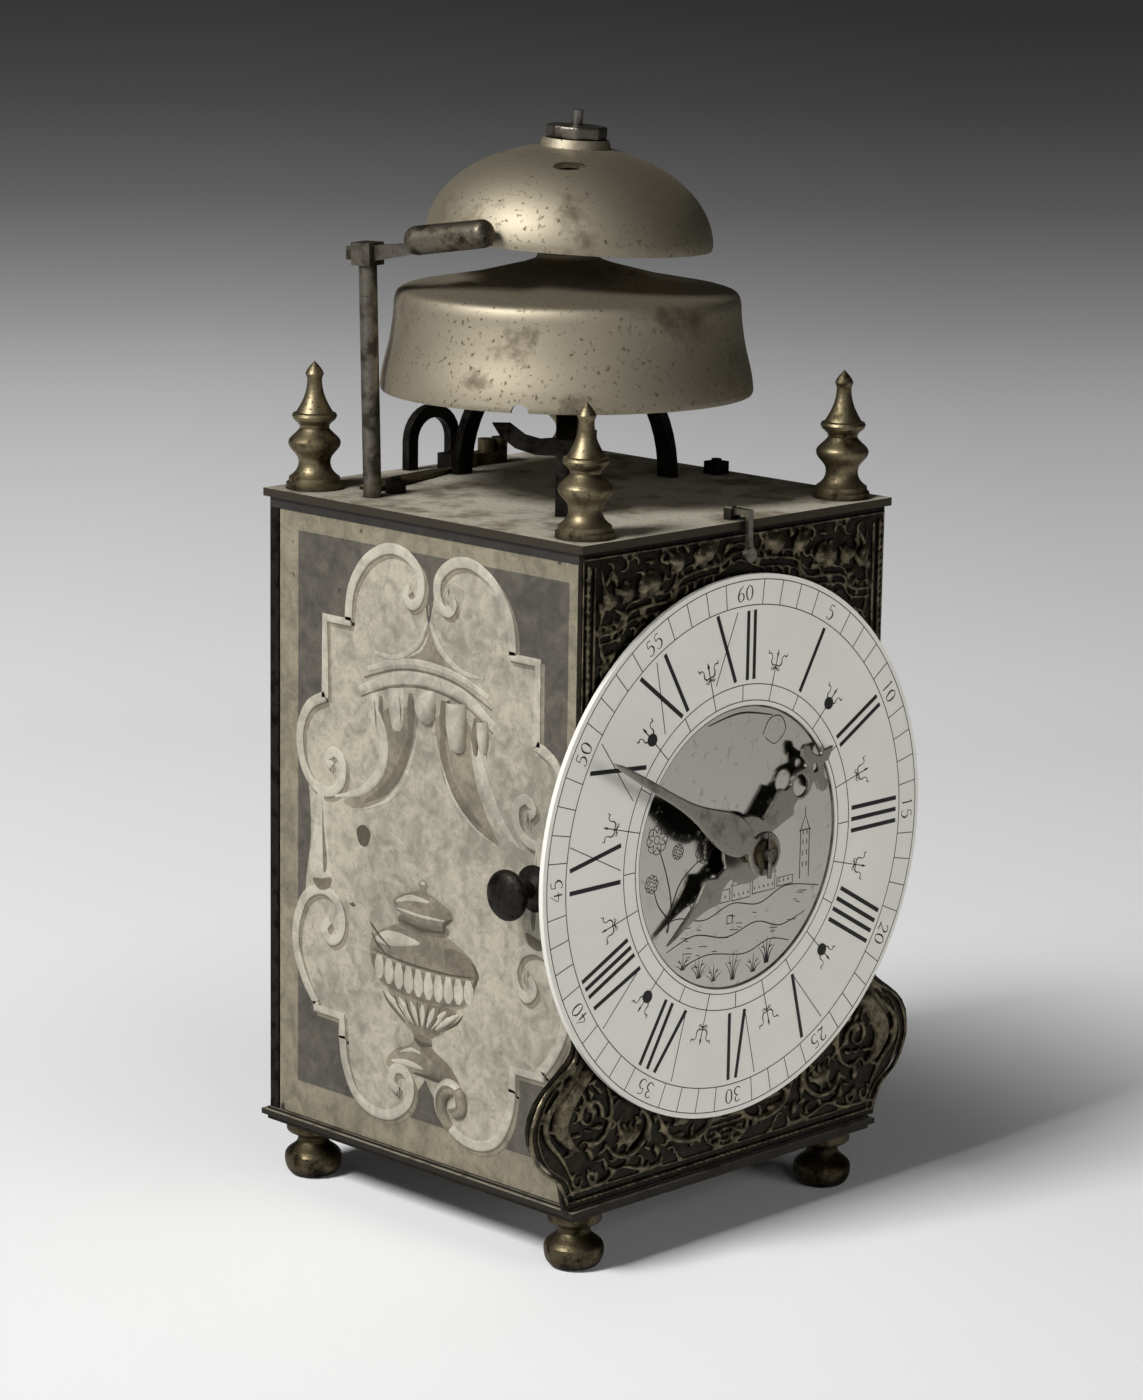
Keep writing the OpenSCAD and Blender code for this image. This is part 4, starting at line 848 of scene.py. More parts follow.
class CLOCK_OT_bells(bpy.types.Operator):
    """Model the cast bells, with the chip in the lower rim and the slot in the upper crown"""
    bl_idname = "clock.bells"
    bl_label = "Bells"

    def execute(self, context):
        low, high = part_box("lower_bell")
        axis = Vector(((low.x + high.x) / 2, (low.y + high.y) / 2, 0))
        rim = low.z
        neck = Vector((axis.x, axis.y, high.z))
        lower = self.turned_shell("lower_bell_cast", self.lower_profile(*LOWER_BELL))
        lower.matrix_world = Matrix.Translation(axis + Vector((0, 0, rim))) @ Matrix.Scale(MM, 4)
        toward = CHIP_TOWARD.normalized()
        chip = self.cutter(axis + toward * CHIP_REACH + Vector((0, 0, rim)), CHIP_RADIUS, toward)
        self.place(lower, chip, "lower_bell")
        upper = self.turned_shell("upper_bell_cast", self.upper_profile(*UPPER_BELL))
        lean = Matrix.Translation(neck) @ Matrix.Rotation(math.radians(3), 4, Vector((1, 1, 0)))
        lift = Matrix.Translation((0, 0, UPPER_LIFT))
        upper.matrix_world = lean @ lift @ Matrix.Scale(MM, 4)
        slot = self.cutter(neck + SLOT_TOWARD * SLOT_REACH + Vector((0, 0, SLOT_UP)), SLOT_RADIUS,
                           SLOT_AXIS, SLOT_LENGTH)
        self.place(upper, slot, "upper_bell")
        return {"FINISHED"}

    def lower_profile(self, r, s, h, t):
        """Gives the lower bell's section: steep side, round shoulder, sloping crown and flat neck."""
        outer = smooth([(r, 0, 0), (r - 0.7, h * 0.14, 0), (s + 1.5, h * 0.36, 0), (s + 0.35, h * 0.55, 0),
                        (s, h * 0.66, 0), (s - 1.2, h * 0.72, 0), (s - 4, h * 0.745, 0)], 5)
        inner = [(x - t, y, z) for x, y, z in outer[:-6]] + [(s - 5, h * 0.745 - t, 0)]
        crown = [(30, h * 0.745 + 3.3, 0), (14, h - 3.3, 0), (12.2, h - 2.7, 0), (10, h - 1.9, 0),
                 (9.5, h - 1.2, 0), (9.4, h - 0.2, 0), (9.0, h, 0), (2.8, h, 0)]
        under = [(2.8, h - t, 0), (9.5, h - t - 0.4, 0), (14, h - 3.3 - t, 0), (30, h * 0.745 + 3.3 - t, 0)]
        rim = [(r - t + 0.4, 0, 0), (r - 0.4, 0, 0)]
        return rim + outer[1:] + crown + under + inner[::-1][:-1]

    def upper_profile(self, r, h, t):
        """Gives the upper bell's section: a low dome with a flat crown."""
        top = math.acos(0.265)
        high = h / math.sin(top)
        angles = [top * i / 26 for i in range(27)]
        outer = [(r * math.cos(a), high * math.sin(a), 0) for a in angles]
        inner = [((r - t) * math.cos(a), min((high - t) * math.sin(a), h - t), 0) for a in angles]
        crown = [(10.6, h, 0), (2.6, h, 0), (2.6, h - t, 0)]
        return [(r - 0.35, 0, 0)] + outer[1:] + crown + inner[::-1]

    def turned_shell(self, name, profile):
        """Turns a section round the upright axis into a closed shell."""
        curve = bpy.data.curves.new(name, "CURVE")
        curve.dimensions = "3D"
        spline = curve.splines.new("POLY")
        spline.points.add(len(profile) - 1)
        for point, (x, y, _) in zip(spline.points, profile):
            point.co = (x, 0, y, 1)
        spline.use_cyclic_u = True
        shell = as_mesh(curve, name)
        only(shell)
        bpy.ops.object.mode_set(mode="EDIT")
        bpy.ops.mesh.select_all(action="SELECT")
        bpy.ops.mesh.spin(steps=160, angle=2 * math.pi, center=(0, 0, 0), axis=(0, 0, 1))
        bpy.ops.object.mode_set(mode="OBJECT")
        closed(shell)
        return shell

    def cutter(self, where, radius, axis, length=0.02):
        """Makes a rough rod that cuts a chip or a slot."""
        bpy.ops.object.select_all(action="DESELECT")
        bpy.ops.mesh.primitive_ico_sphere_add(subdivisions=3, radius=radius, location=where)
        rod = bpy.context.active_object
        rod.scale.z = length / radius / 2
        rod.rotation_euler = axis.to_track_quat("Z", "Y").to_euler()
        bpy.ops.object.transform_apply(location=True, rotation=True, scale=True)
        rng = random.Random(4)
        for v in rod.data.vertices:
            v.co += Vector([rng.uniform(-1, 1) for _ in range(3)]) * radius * 0.07
        return rod

    def place(self, bell, rod, node):
        """Cuts the rod's shape out of a bell, and puts the bell in its node's place."""
        only(bell)
        bpy.ops.object.transform_apply(location=True, rotation=True, scale=True)
        apply_modifier(bell, "BOOLEAN", object=rod, operation="DIFFERENCE", solver="EXACT")
        bpy.data.objects.remove(rod)
        only(bell)
        bpy.ops.object.shade_smooth_by_angle(angle=math.radians(40))
        take_place(bell, node, metal("cast_bell_bronze"))


class CLOCK_OT_hands(bpy.types.Operator):
    """Model the filed steel hands and the worn hammer head"""
    bl_idname = "clock.hands"
    bl_label = "Hands and hammer"

    def execute(self, context):
        hand_finished("minute_hand", 0.28, 5, metal("polished_hand_steel"))
        hand_finished("hour_hand", 0.28, 5, metal("polished_hand_steel"))
        hand_finished("hammer_head", 0.55, 6, metal("struck_bronze"))
        hand_finished("hammer_spring", 0.5, 3, metal("aged_turned_brass"))
        hand_finished("bell_nut", 0.45, 5, metal("rubbed_iron"))
        return {"FINISHED"}


# The chapter ring

# Each hour's strokes: x at the outer end, x at the inner end, and thick or thin
HOUR_STROKES = {
    12: [(-11.7, -3.3, 1), (-3, -11.7, 0), (1.8, 1.8, 1), (4.7, 4.7, 1)],
    1: [(0, 0, 1)],
    2: [(-2.2, -2.2, 1), (1, 1, 1)],
    3: [(-4, -4, 1), (-0.4, -0.4, 1), (3.2, 3.2, 1)],
    4: [(-5.6, -5.6, 1), (-2.2, -2.2, 1), (1.2, 1.2, 1), (4.7, 4.7, 1)],
    5: [(-4, 0, 0), (6, 0, 1)],
    6: [(-9.2, -4.2, 0), (-0.8, -4.2, 1), (2.5, 2.5, 1)],
    7: [(-9.6, -4.3, 0), (-1, -4.3, 1), (2.5, 2.5, 1), (6.2, 5.7, 1)],
    8: [(-10.2, -4.3, 0), (-2.4, -4.3, 1), (2, 0.8, 1), (4.9, 3.7, 1), (7.8, 6.6, 1)],
    9: [(-1.7, -1.7, 1), (5, 9.2, 1), (12, 1.7, 0)],
    10: [(-3.9, 6.3, 1), (5.4, -4.3, 0)],
    11: [(-9.3, -0.6, 1), (-1.6, -8.9, 0), (2.3, 2.1, 1)],
}

# Pen strokes of the old style minute figures, each in a box 0.62 wide and 1 high
DIGITS = {
    "0": [[(0.31, 0.98, 0.06), (0.08, 0.75, 0.15), (0.04, 0.45, 0.17), (0.14, 0.12, 0.12),
           (0.31, 0.02, 0.05), (0.5, 0.15, 0.12), (0.58, 0.5, 0.17), (0.52, 0.82, 0.12),
           (0.31, 0.98, 0.06)]],
    "1": [[(0.22, 0.82, 0.05), (0.32, 0.98, 0.12), (0.32, 0.02, 0.13)]],
    "2": [[(0.06, 0.78, 0.14), (0.18, 0.96, 0.07), (0.42, 0.95, 0.12), (0.52, 0.72, 0.16),
           (0.34, 0.4, 0.09), (0.04, 0.05, 0.05)],
          [(0.04, 0.06, 0.1), (0.3, 0.1, 0.14), (0.48, 0.02, 0.1), (0.6, 0.14, 0.05)]],
    "3": [[(0.06, 0.86, 0.1), (0.28, 0.98, 0.07), (0.48, 0.84, 0.14), (0.42, 0.62, 0.1),
           (0.24, 0.54, 0.05)],
          [(0.24, 0.54, 0.05), (0.52, 0.42, 0.14), (0.54, 0.16, 0.15), (0.32, -0.02, 0.08),
           (0.06, 0.1, 0.12)]],
    "4": [[(0.42, 0.98, 0.05), (0.04, 0.34, 0.07), (0.6, 0.32, 0.1)],
          [(0.42, 0.7, 0.13), (0.42, 0, 0.14)]],
    "5": [[(0.5, 0.96, 0.09), (0.16, 0.92, 0.07), (0.12, 0.56, 0.08)],
          [(0.12, 0.56, 0.05), (0.4, 0.6, 0.1), (0.56, 0.34, 0.17), (0.42, 0.06, 0.12),
           (0.2, -0.02, 0.06), (0.06, 0.1, 0.11)]],
    "6": [[(0.5, 0.96, 0.06), (0.22, 0.76, 0.12), (0.06, 0.36, 0.17), (0.16, 0.06, 0.12),
           (0.34, 0, 0.06), (0.54, 0.16, 0.13), (0.54, 0.4, 0.14), (0.34, 0.54, 0.06),
           (0.12, 0.38, 0.06)]],
}


class CLOCK_OT_figures(bpy.types.Operator):
    """Engrave the hours, the minutes, the tracks and the half-hour marks on the chapter ring"""
    bl_idname = "clock.figures"
    bl_label = "Dial figures"

    def execute(self, context):
        sizes = context.scene.dial_sizes
        thin = sizes.hairline
        lines = [arc(0, 0, r, 0, 360, thin, 180) for r in (
            sizes.track_outer, sizes.track_inner, sizes.quarter_outer, sizes.quarter_inner)]
        for minute in range(60):
            if minute % 5:
                tick = [(0, sizes.track_inner, thin), (0, sizes.track_outer, thin)]
                lines.append(turned(tick, minute * 6))
        for quarter in range(24):
            tick = [(0, sizes.quarter_inner, thin), (0, sizes.quarter_outer, thin)]
            lines.append(turned(tick, quarter * 15))
        for hour, figure in HOUR_STROKES.items():
            for outer, inner, thick in figure:
                width = sizes.bold if thick else thin
                bar = [(outer, sizes.hour_outer, width), (inner, sizes.hour_inner, width)]
                lines.append(turned(bar, hour * 30))
        for five in range(12):
            lines += self.minutes(str((five * 5) or 60), five * 30, sizes)
        for half in range(12):
            lines += [turned(line, half * 30 + 15) for line in self.half_hour(thin)]
        ink = strokes("dial_figures", lines, 0.05)
        settle(ink, facing_front(RING_LOW.y, DIAL_Z), black_wax(), "case")
        return {"FINISHED"}

    def minutes(self, word, angle, sizes):
        """Writes a minute number in its place in the track."""
        tall = 4.7
        gap = 0.78 * tall
        middle = (sizes.track_outer + sizes.track_inner) / 2
        lines = []
        for i, letter in enumerate(word):
            left = (i - len(word) / 2) * gap + 0.1 * tall
            for pen in DIGITS[letter]:
                raw = [(left + x * tall, middle + (y - 0.5) * tall, w * tall * 0.8) for x, y, w in pen]
                lines.append(turned(smooth(raw, 4) if len(raw) > 2 else raw, angle))
        return lines

    def half_hour(self, thin):
        """Draws a spear with two curled arms."""
        stem = [(0, 49.5, thin), (0, 56, thin), (0, 58.2, 0.4), (0, 58.8, 0.9), (0, 60.2, 0.15)]
        bar = [(-1.2, 54.6, 0.4), (1.2, 54.6, 0.4)]
        arm = smooth([(0, 55.6, 0.3), (1.4, 55.4, 0.5), (2.3, 56.4, 0.45), (2.2, 57.8, 0.3),
                      (2.9, 58.8, 0.3), (4, 58.6, 0.45), (4.3, 59.6, 0.15)], 4)
        curl = smooth([(0, 55.4, 0.25), (1, 54, 0.3), (1.8, 54.3, 0.25), (1.6, 55, 0.15)], 4)
        return [stem, bar, arm, mirrored(arm), curl, mirrored(curl)]


class CLOCK_OT_landscape(bpy.types.Operator):
    """Engrave a small landscape with a walled town in the dial's centre"""
    bl_idname = "clock.landscape"
    bl_label = "Dial centre"

    def execute(self, context):
        lines = self.hills() + self.town() + self.tree(-30, -21)
        lines.append(smooth([(10, 33, 0.25), (13, 37.5, 0.35), (18, 37.5, 0.3), (20, 33, 0.25),
                             (15.5, 29.5, 0.2), (11, 32, 0.2)], 5))
        lines.append(smooth([(-14, 39, 0.3), (0, 41, 0.6), (14, 38.5, 0.3)], 5))
        lines = [[(x, y, w + 0.1) for x, y, w in line] for line in lines]
        for x, tall in ((-23, 5), (-16, 7), (-9.5, 5.5), (-1, 9), (8, 6), (14, 8.5)):
            lines += self.reeds(x, tall)
        engraved = strokes("dial_landscape", lines, 0.03)
        settle(engraved, facing_front(DISC_FRONT, DIAL_Z), black_wax(), "case")
        rim = strokes("dial_centre_rim", [arc(0, 0, 42.9, 0, 360, 0.7, 120)], 0.25)
        settle(rim, facing_front(DISC_FRONT, DIAL_Z), metal("filed_steel"), "case")
        return {"FINISHED"}

    def hills(self):
        """Draws three rolling lines of ground with a little hatching."""
        lines = [
            smooth([(-36, -20, 0.2), (-26, -17.5, 0.3), (-14, -20, 0.3), (-2, -17, 0.3),
                    (10, -19, 0.3), (22, -15.5, 0.3), (37, -18, 0.2)], 6),
            smooth([(-30, -27, 0.2), (-18, -24, 0.35), (-4, -27, 0.3), (9, -24.5, 0.3),
                    (20, -27.5, 0.3), (31, -25, 0.2)], 6),
            smooth([(-24, -33, 0.3), (-12, -31, 0.3), (4, -33.5, 0.3), (15, -31, 0.3), (24, -33, 0.2)], 6),
        ]
        rng = random.Random(11)
        for _ in range(26):
            x = rng.uniform(-28, 28)
            y = rng.uniform(-34, -18)
            lines.append([(x, y, 0.15), (x + rng.uniform(1.5, 4), y - rng.uniform(0.2, 0.8), 0.2)])
        return lines

    def town(self):
        """Draws low houses, a long wall and a church tower."""
        lines = []
        for x, y, w, h, roof in ((-20, -16.5, 9, 3.2, 1.6), (-10, -16, 7, 3.8, 0), (-2, -16.2, 8, 4.6, 2.2),
                                 (7, -15.6, 10, 5.2, 2.4), (18, -15.2, 7, 2.6, 0)):
            lines.append([(x, y, 0.25), (x, y + h, 0.25), (x + w, y + h, 0.25), (x + w, y, 0.25),
                          (x, y, 0.25)])
            if roof:
                lines.append([(x - 0.5, y + h, 0.25), (x + 1.5, y + h + roof, 0.25),
                              (x + w - 1.5, y + h + roof, 0.25), (x + w + 0.5, y + h, 0.25)])
            for i in range(int(w / 2)):
                lines.append([(x + 1 + 2 * i, y + 1.2, 0.35), (x + 1 + 2 * i, y + 2, 0.35)])
        tower = [(28.2, -14.5, 0.25), (28.2, 0.5, 0.25), (30.2, 5.2, 0.25), (32.2, 0.5, 0.25),
                 (32.2, -14.5, 0.25)]
        lines.append(tower)
        lines.append([(27.6, 0.5, 0.3), (32.8, 0.5, 0.3)])
        lines.append([(30.2, 5.2, 0.2), (30.2, 7.6, 0.2)])
        for y in (-11, -7.5, -4, -1):
            lines.append([(29.4, y, 0.3), (29.4, y + 1.6, 0.3)])
            lines.append([(31.1, y, 0.3), (31.1, y + 1.6, 0.3)])
        lines.append([(-4, -23, 0.25), (-4, -20.6, 0.25), (-1.6, -20.6, 0.6), (-1.6, -23, 0.25),
                      (-4, -23, 0.25)])
        return lines

    def tree(self, x, y):
        """Draws a bending tree whose branches end in round heads of looped leaves."""
        trunk = smooth([(x, y, 0.8), (x + 1.5, y + 8, 0.5), (x - 0.5, y + 17, 0.4), (x - 4, y + 26, 0.3)], 5)
        limb = smooth([(x + 1, y + 6, 0.5), (x + 5, y + 14, 0.4), (x + 10, y + 18, 0.35),
                       (x + 14, y + 20, 0.3)], 5)
        low_limb = smooth([(x + 0.5, y + 4, 0.5), (x - 4, y + 9, 0.4), (x - 6, y + 14, 0.3)], 5)
        lines = [trunk, limb, low_limb]
        for cx, cy, r in ((x - 5, y + 29, 4.4), (x - 7, y + 16, 2.8), (x + 15, y + 22, 3.4),
                          (x + 4, y + 24, 2.4)):
            for k in range(8):
                a = 360 * k / 8
                px = cx + r * 0.6 * math.cos(math.radians(a))
                py = cy + r * 0.6 * math.sin(math.radians(a))
                lines.append(arc(px, py, r * 0.4, a - 130, a + 130, 0.22, 7))
            lines.append(arc(cx, cy, r * 0.3, 0, 330, 0.2, 7))
        return lines

    def reeds(self, x, tall):
        """Draws a tuft of reeds and leaves at the foot of the picture."""
        y = -math.sqrt(40.8 ** 2 - x * x)
        lines = []
        for k, lean in enumerate((-3.4, -1.6, 0.2, 1.8, 3.6)):
            top = tall - abs(lean) * 0.9
            lines.append(smooth([(x + lean * 0.2, y, 0.4), (x + lean * 0.4, y + top * 0.5, 0.3),
                                 (x + lean, y + top, 0.12)], 3))
            if k % 2:
                lines.append([(x + lean * 0.7, y + top * 0.7, 0.5),
                              (x + lean * 0.7 + 1.3 * lean / abs(lean), y + top * 0.7 + 0.6, 0.12)])
        return lines


# The raised front. Heights are in millimetres over the case's floor

DIAL_UP = 98.5


def skirt_line(inset):
    """Follows the front plate's right edge from the case down to its foot, set in by a distance."""
    wide = PLATE_HIGH.x / MM - inset
    return [(65.5 - inset, 50), (67.5 - inset, 44.5), (74 - inset, 40.5), (80.4 - inset, 35.5),
            (wide, 27), (wide - 1, 20.5), (79.6 - inset, 14.5), (73 - inset, 9.5), (70 - inset, 4),
            (69 - inset, 1.6)]


class CLOCK_OT_front(bpy.types.Operator):
    """Raise the straps, shells, leaves and lobes of the front plate"""
    bl_idname = "clock.front"
    bl_label = "Raised front"

    def execute(self, context):
        half = self.edges() + self.straps() + self.shells() + self.skirt() + self.curls()
        lines = half + [mirrored(line) for line in half] + self.middle()
        work = strokes("raised_front", lines, 1.5, flat_top=False)
        for v in work.data.vertices:
            under_ring = math.hypot(v.co.x, v.co.y - DIAL_UP) < 84.5
            v.co.z = max(-0.8, min(v.co.z, 1.15 if under_ring else 2.1))
        apply_modifier(work, "REMESH", mode="VOXEL", voxel_size=0.42, adaptivity=0)
        apply_modifier(work, "SMOOTH", factor=0.5, iterations=2)
        apply_modifier(work, "DECIMATE", ratio=0.3)
        only(work)
        bpy.ops.object.shade_smooth()
        finish = raised_brass("patinated_raised_brass", 1)
        settle(work, facing_front(PLATE_LOW.y, FLOOR_TOP), finish, "case")
        return {"FINISHED"}

    def curls(self):
        """Small leaves and curls that fill the ground between the larger forms."""
        rng = random.Random(7)
        lines = []
        for row in range(38):
            for column in range(17):
                x = 2.4 + column * 4.5 + (row % 2) * 2.2 + rng.uniform(-0.8, 0.8)
                y = 8.0 + row * 4.9 + rng.uniform(-0.8, 0.8)
                if y > 48:
                    side = 59
                elif y > 26:
                    side = min(75, 63 + 0.9 * (48 - y))
                else:
                    side = 60 + 0.6 * (y - 8)
                if x > side or y > 190 or math.hypot(x, y - DIAL_UP) < 80:
                    continue
                turn = 70 * math.sin(x * 0.13) + 60 * math.cos(y * 0.17) + rng.uniform(-50, 50)
                if rng.random() < 0.45:
                    lines.append(self.leaf(x, y, rng.uniform(3.5, 5.5), turn, rng.uniform(1.5, 2.4)))
                else:
                    bend = rng.choice((-1, 1)) * rng.uniform(150, 250)
                    curl = arc(x, y, rng.uniform(1.3, 2.1), turn, turn + bend, rng.uniform(0.9, 1.4), 9)
                    lines.append(tapered(curl, 0.5))
        return lines

    def beads(self, points, size=1.9, gap=2.3):
        """Turns a path into a string of beads."""
        path = smooth([(x, y, 0) for x, y in points], 12)
        result = []
        run = 0.0
        last = path[0]
        for point in path:
            step = math.hypot(point[0] - last[0], point[1] - last[1])
            count = max(1, int(step / 0.55))
            for i in range(count):
                t = (i + 1) / count
                x = last[0] + (point[0] - last[0]) * t
                y = last[1] + (point[1] - last[1]) * t
                phase = (run + step * t) / gap * math.pi
                result.append((x, y, size * (0.35 + 0.65 * abs(math.sin(phase)))))
            run += step
            last = point
        return result

    def leaf(self, x, y, length, angle, width=4):
        """Draws a plump leaf with its point away from x, y."""
        a = math.radians(angle)
        return [(x + length * t * math.cos(a), y + length * t * math.sin(a), width * w)
                for t, w in ((0, 0.3), (0.2, 0.85), (0.45, 1), (0.7, 0.75), (0.9, 0.4), (1, 0.12))]

    def edges(self):
        """Beaded double lines down the plate's upright edges, with a bead at each top corner."""
        return [
            self.beads([(63.2, 50), (63.2, 120), (63.2, 191)]),
            [(60.6, 52, 1.1), (60.6, 190, 1.1)],
            [(65, 52, 0.7), (65, 193.5, 0.7)],
            [(0, 192.6, 1.1), (64, 192.6, 1.1)],
            [(62.6, 189.2, 3.4), (62.8, 189.2, 3.4)],
            smooth([(58, 190, 0.6), (56.5, 180, 1), (58.5, 170, 0.8), (56, 160, 1),
                    (58, 150, 0.8), (57, 138, 0.6)], 6),
        ]

    def straps(self):
        """The ribbed strap that steps up to the middle, in three parallel mouldings."""
        lines = []
        for drop, width in ((0, 1.5), (2.6, 1), (-2.4, 0.9)):
            steps = [(59, 170), (52, 170.5), (49, 172), (46, 175.4), (38, 176.4), (31, 176.6),
                     (27.5, 179), (25, 182.6), (16, 184.4), (8, 185), (4, 187), (0, 188)]
            lines.append(smooth([(x, y - drop, width) for x, y in steps], 5))
        return lines

    def shells(self):
        """Leaf lumps, fruit and swags over and under the strap."""
        lines = []
        for x, y, turn in ((11, 188.5, 20), (19, 187.5, 160), (24, 187, 15), (34, 182, 20),
                           (43, 181.5, 165), (45, 181, 10), (54, 177, 70)):
            lines.append(self.leaf(x, y, 7.5, turn, 4.6))
            lines.append(self.leaf(x, y, 5.5, turn + 42, 2.6))
            lines.append(self.leaf(x, y, 5.5, turn - 42, 2.6))
        for x, y in ((29, 186), (31.4, 188.2), (32, 184.6), (50, 186), (52.4, 184), (53, 187.4),
                     (38, 188), (40.4, 186.8)):
            lines.append([(x, y, 2.5), (x + 0.2, y, 2.5)])
        for y, reach, sag in ((166, 16, 9), (160, 11, 7), (150, 13, 8)):
            lines.append(smooth([(58, y, 1), (58 - reach * 0.25, y - sag * 0.8, 1.8),
                                 (58 - reach * 0.6, y - sag, 2.2), (58 - reach, y - sag * 0.3, 1.2)], 6))
        lines.append(scroll(52, 156, 0.8, 5, 40, 520, 0.8, 1.8))
        lines.append(scroll(41, 168, 0.6, 3.8, 200, -220, 0.7, 1.6))
        lines.append(scroll(53, 138, 0.6, 4.4, -60, 380, 0.7, 1.7))
        for k in range(5):
            lines.append(self.leaf(60, 131 - 12 * k, 9, 220, 4.2))
            lines.append(self.leaf(56, 126 - 12 * k, 8, 140, 3.6))
        return lines

    def skirt(self):
        """The rim, lobes, basins and scrolls of the skirt."""
        rim = smooth([(x, y, 1.3) for x, y in skirt_line(1.2)], 6)
        inner = smooth([(x, y, 0.8) for x, y in skirt_line(4.2)], 6)
        lines = [rim, inner]
        lines.append(smooth([(60, 46, 1), (68, 39, 2), (76.5, 31, 2.4), (77, 24, 2.2),
                             (71, 17, 1.6), (66, 9, 1)], 7))
        lines.append(smooth([(55, 42, 1.2), (62, 39.5, 5.5), (68.5, 33, 7.5), (71.5, 26.5, 7),
                             (68, 20.5, 4), (63, 17, 1.4)], 7))
        lines.append(scroll(59.5, 27.5, 0.8, 5.4, 90, 560, 0.9, 2))
        lines.append(smooth([(52, 35, 1), (50, 27, 1.8), (53, 20, 1.8), (61, 16.8, 1.2)], 6))
        lines.append(smooth([(40, 28, 1), (34, 19.5, 2.2), (40, 12.5, 2.4), (48, 12.5, 2.2),
                             (52.5, 17.5, 1.4)], 6))
        for k in range(5):
            lines.append(self.leaf(43.5, 15, 7.5, 60 + 22 * k, 2.6))
        lines.append(smooth([(31, 24, 1), (26, 14, 2.4), (17, 10.5, 2.6), (9, 12.5, 2), (4, 19, 1.2)], 6))
        for k in range(4):
            lines.append(self.leaf(19, 15.5, 6.5, 45 + 28 * k, 2.4))
        for x in (57, 63.5):
            lines.append(scroll(x, 8.5, 0.5, 2.8, 0, 420, 0.6, 1.3))
        lines.append(self.beads([(0, 2.2), (34, 2.2), (67, 2.2)], 1.7, 2.4))
        lines.append([(0, 4.6, 0.9), (68, 4.8, 0.9)])
        lines.append(smooth([(66, 5.4, 1), (54, 5.6, 1.6), (46, 8.5, 1.4), (38, 6.4, 1.6),
                             (28, 5.6, 1.2)], 5))
        return lines

    def middle(self):
        """The oval boss with beaded bars at the middle of the skirt."""
        lines = [[(p[0], p[1] * 0.55 + 5.5, 1.3) for p in arc(0, 9, 9.5, 0, 360, 1.3, 30)]]
        for k in (-2, -1, 0, 1, 2):
            reach = math.sqrt(max(0, 6.6 ** 2 - (k * 1.9) ** 2)) * 1.1
            lines.append(self.beads([(-reach, 10.4 + k * 1.75), (0, 10.4 + k * 1.75),
                                     (reach, 10.4 + k * 1.75)], 1.3, 1.9))
        lines.append(self.leaf(0, 18, 8, 90, 5))
        return lines


# The painted doors

# Distances in millimetres from the door drawing's edge: the strapwork's axis, the urn's, and the line
# in which the left door's drawing is mirrored to give the right door's
DOOR_MIDDLE = 71
URN_MIDDLE = 69.6
DOOR_HALF_WIDTH = 67


def dot(x, y, size):
    """Gives a stroke so short that it is a round spot."""
    return [(x, y, size), (x + 0.2, y, size)]


def rectangle(x0, y0, x1, y1):
    """Gives a rectangle's outline from two opposite corners."""
    return [(x0, y0), (x1, y0), (x1, y1), (x0, y1)]


def strap_outline():
    """Follows the left half of the pale strapwork, from its crown's scroll down to its foot's."""
    lines = [
        smooth([(62.6, 174.8), (60.6, 172.4), (62.6, 169.8), (65.8, 170.8), (67.6, 175.2), (66.4, 180.2),
                (60.4, 184.6), (52, 185), (43, 180), (37, 171), (35.6, 161)], 6),
        [(35.6, 162), (35.6, 160.4), (25.2, 160.4), (25.4, 135.6)],
        smooth([(25.4, 136), (18, 132), (14, 124), (15, 114.6), (20, 107.8), (27, 106.4), (32.6, 110.2),
                (33.4, 116.4), (29.6, 119.4), (26.4, 116.8), (28.4, 114.6)], 6),
        smooth([(27.4, 66.2), (25.2, 62.8), (28, 59.8), (32, 62), (33.4, 67.4), (30.6, 73), (24, 75.2),
                (16.6, 71.6), (12.4, 62.6), (12.4, 54), (16.4, 45), (21.6, 38.6)], 6),
        [(21.4, 38.8), (21.6, 36.8), (33.4, 36.6), (33.6, 29.6)],
        smooth([(33.6, 30.4), (35, 22), (39.6, 13.6), (47, 9.8), (56, 10.4), (63, 15.6), (64.6, 21.6),
                (61.6, 25.6), (57, 25), (56, 20.6), (59, 18.8)], 6),
    ]
    band_width = 3.7
    return [[(x, y, band_width) for x, y in line] for line in lines]


def field_outline():
    """Gives the whole outline of the stone coloured field between the straps."""
    crown = smooth([(71, 164), (69, 172), (67, 180), (60.4, 184.6), (52, 185), (43, 180), (37, 171),
                    (35.6, 161)], 6)
    knee = smooth([(25.4, 136), (18, 132), (14, 124), (15, 114.6), (18, 107), (19, 92), (17, 78),
                   (16, 71), (12.4, 62.6), (12.4, 54), (16.4, 45), (21.6, 38.6)], 6)
    foot = smooth([(33.6, 30.4), (35, 22), (39.6, 13.6), (47, 9.8), (56, 10.4), (63, 15.6), (68, 21),
                   (71, 25)], 6)
    left = crown + [(25.2, 160.4)] + knee + [(21.6, 36.8), (33.4, 36.6)] + foot
    right = [(2 * DOOR_MIDDLE - x, y) for x, y in reversed(left)]
    return left + right[1:-1]


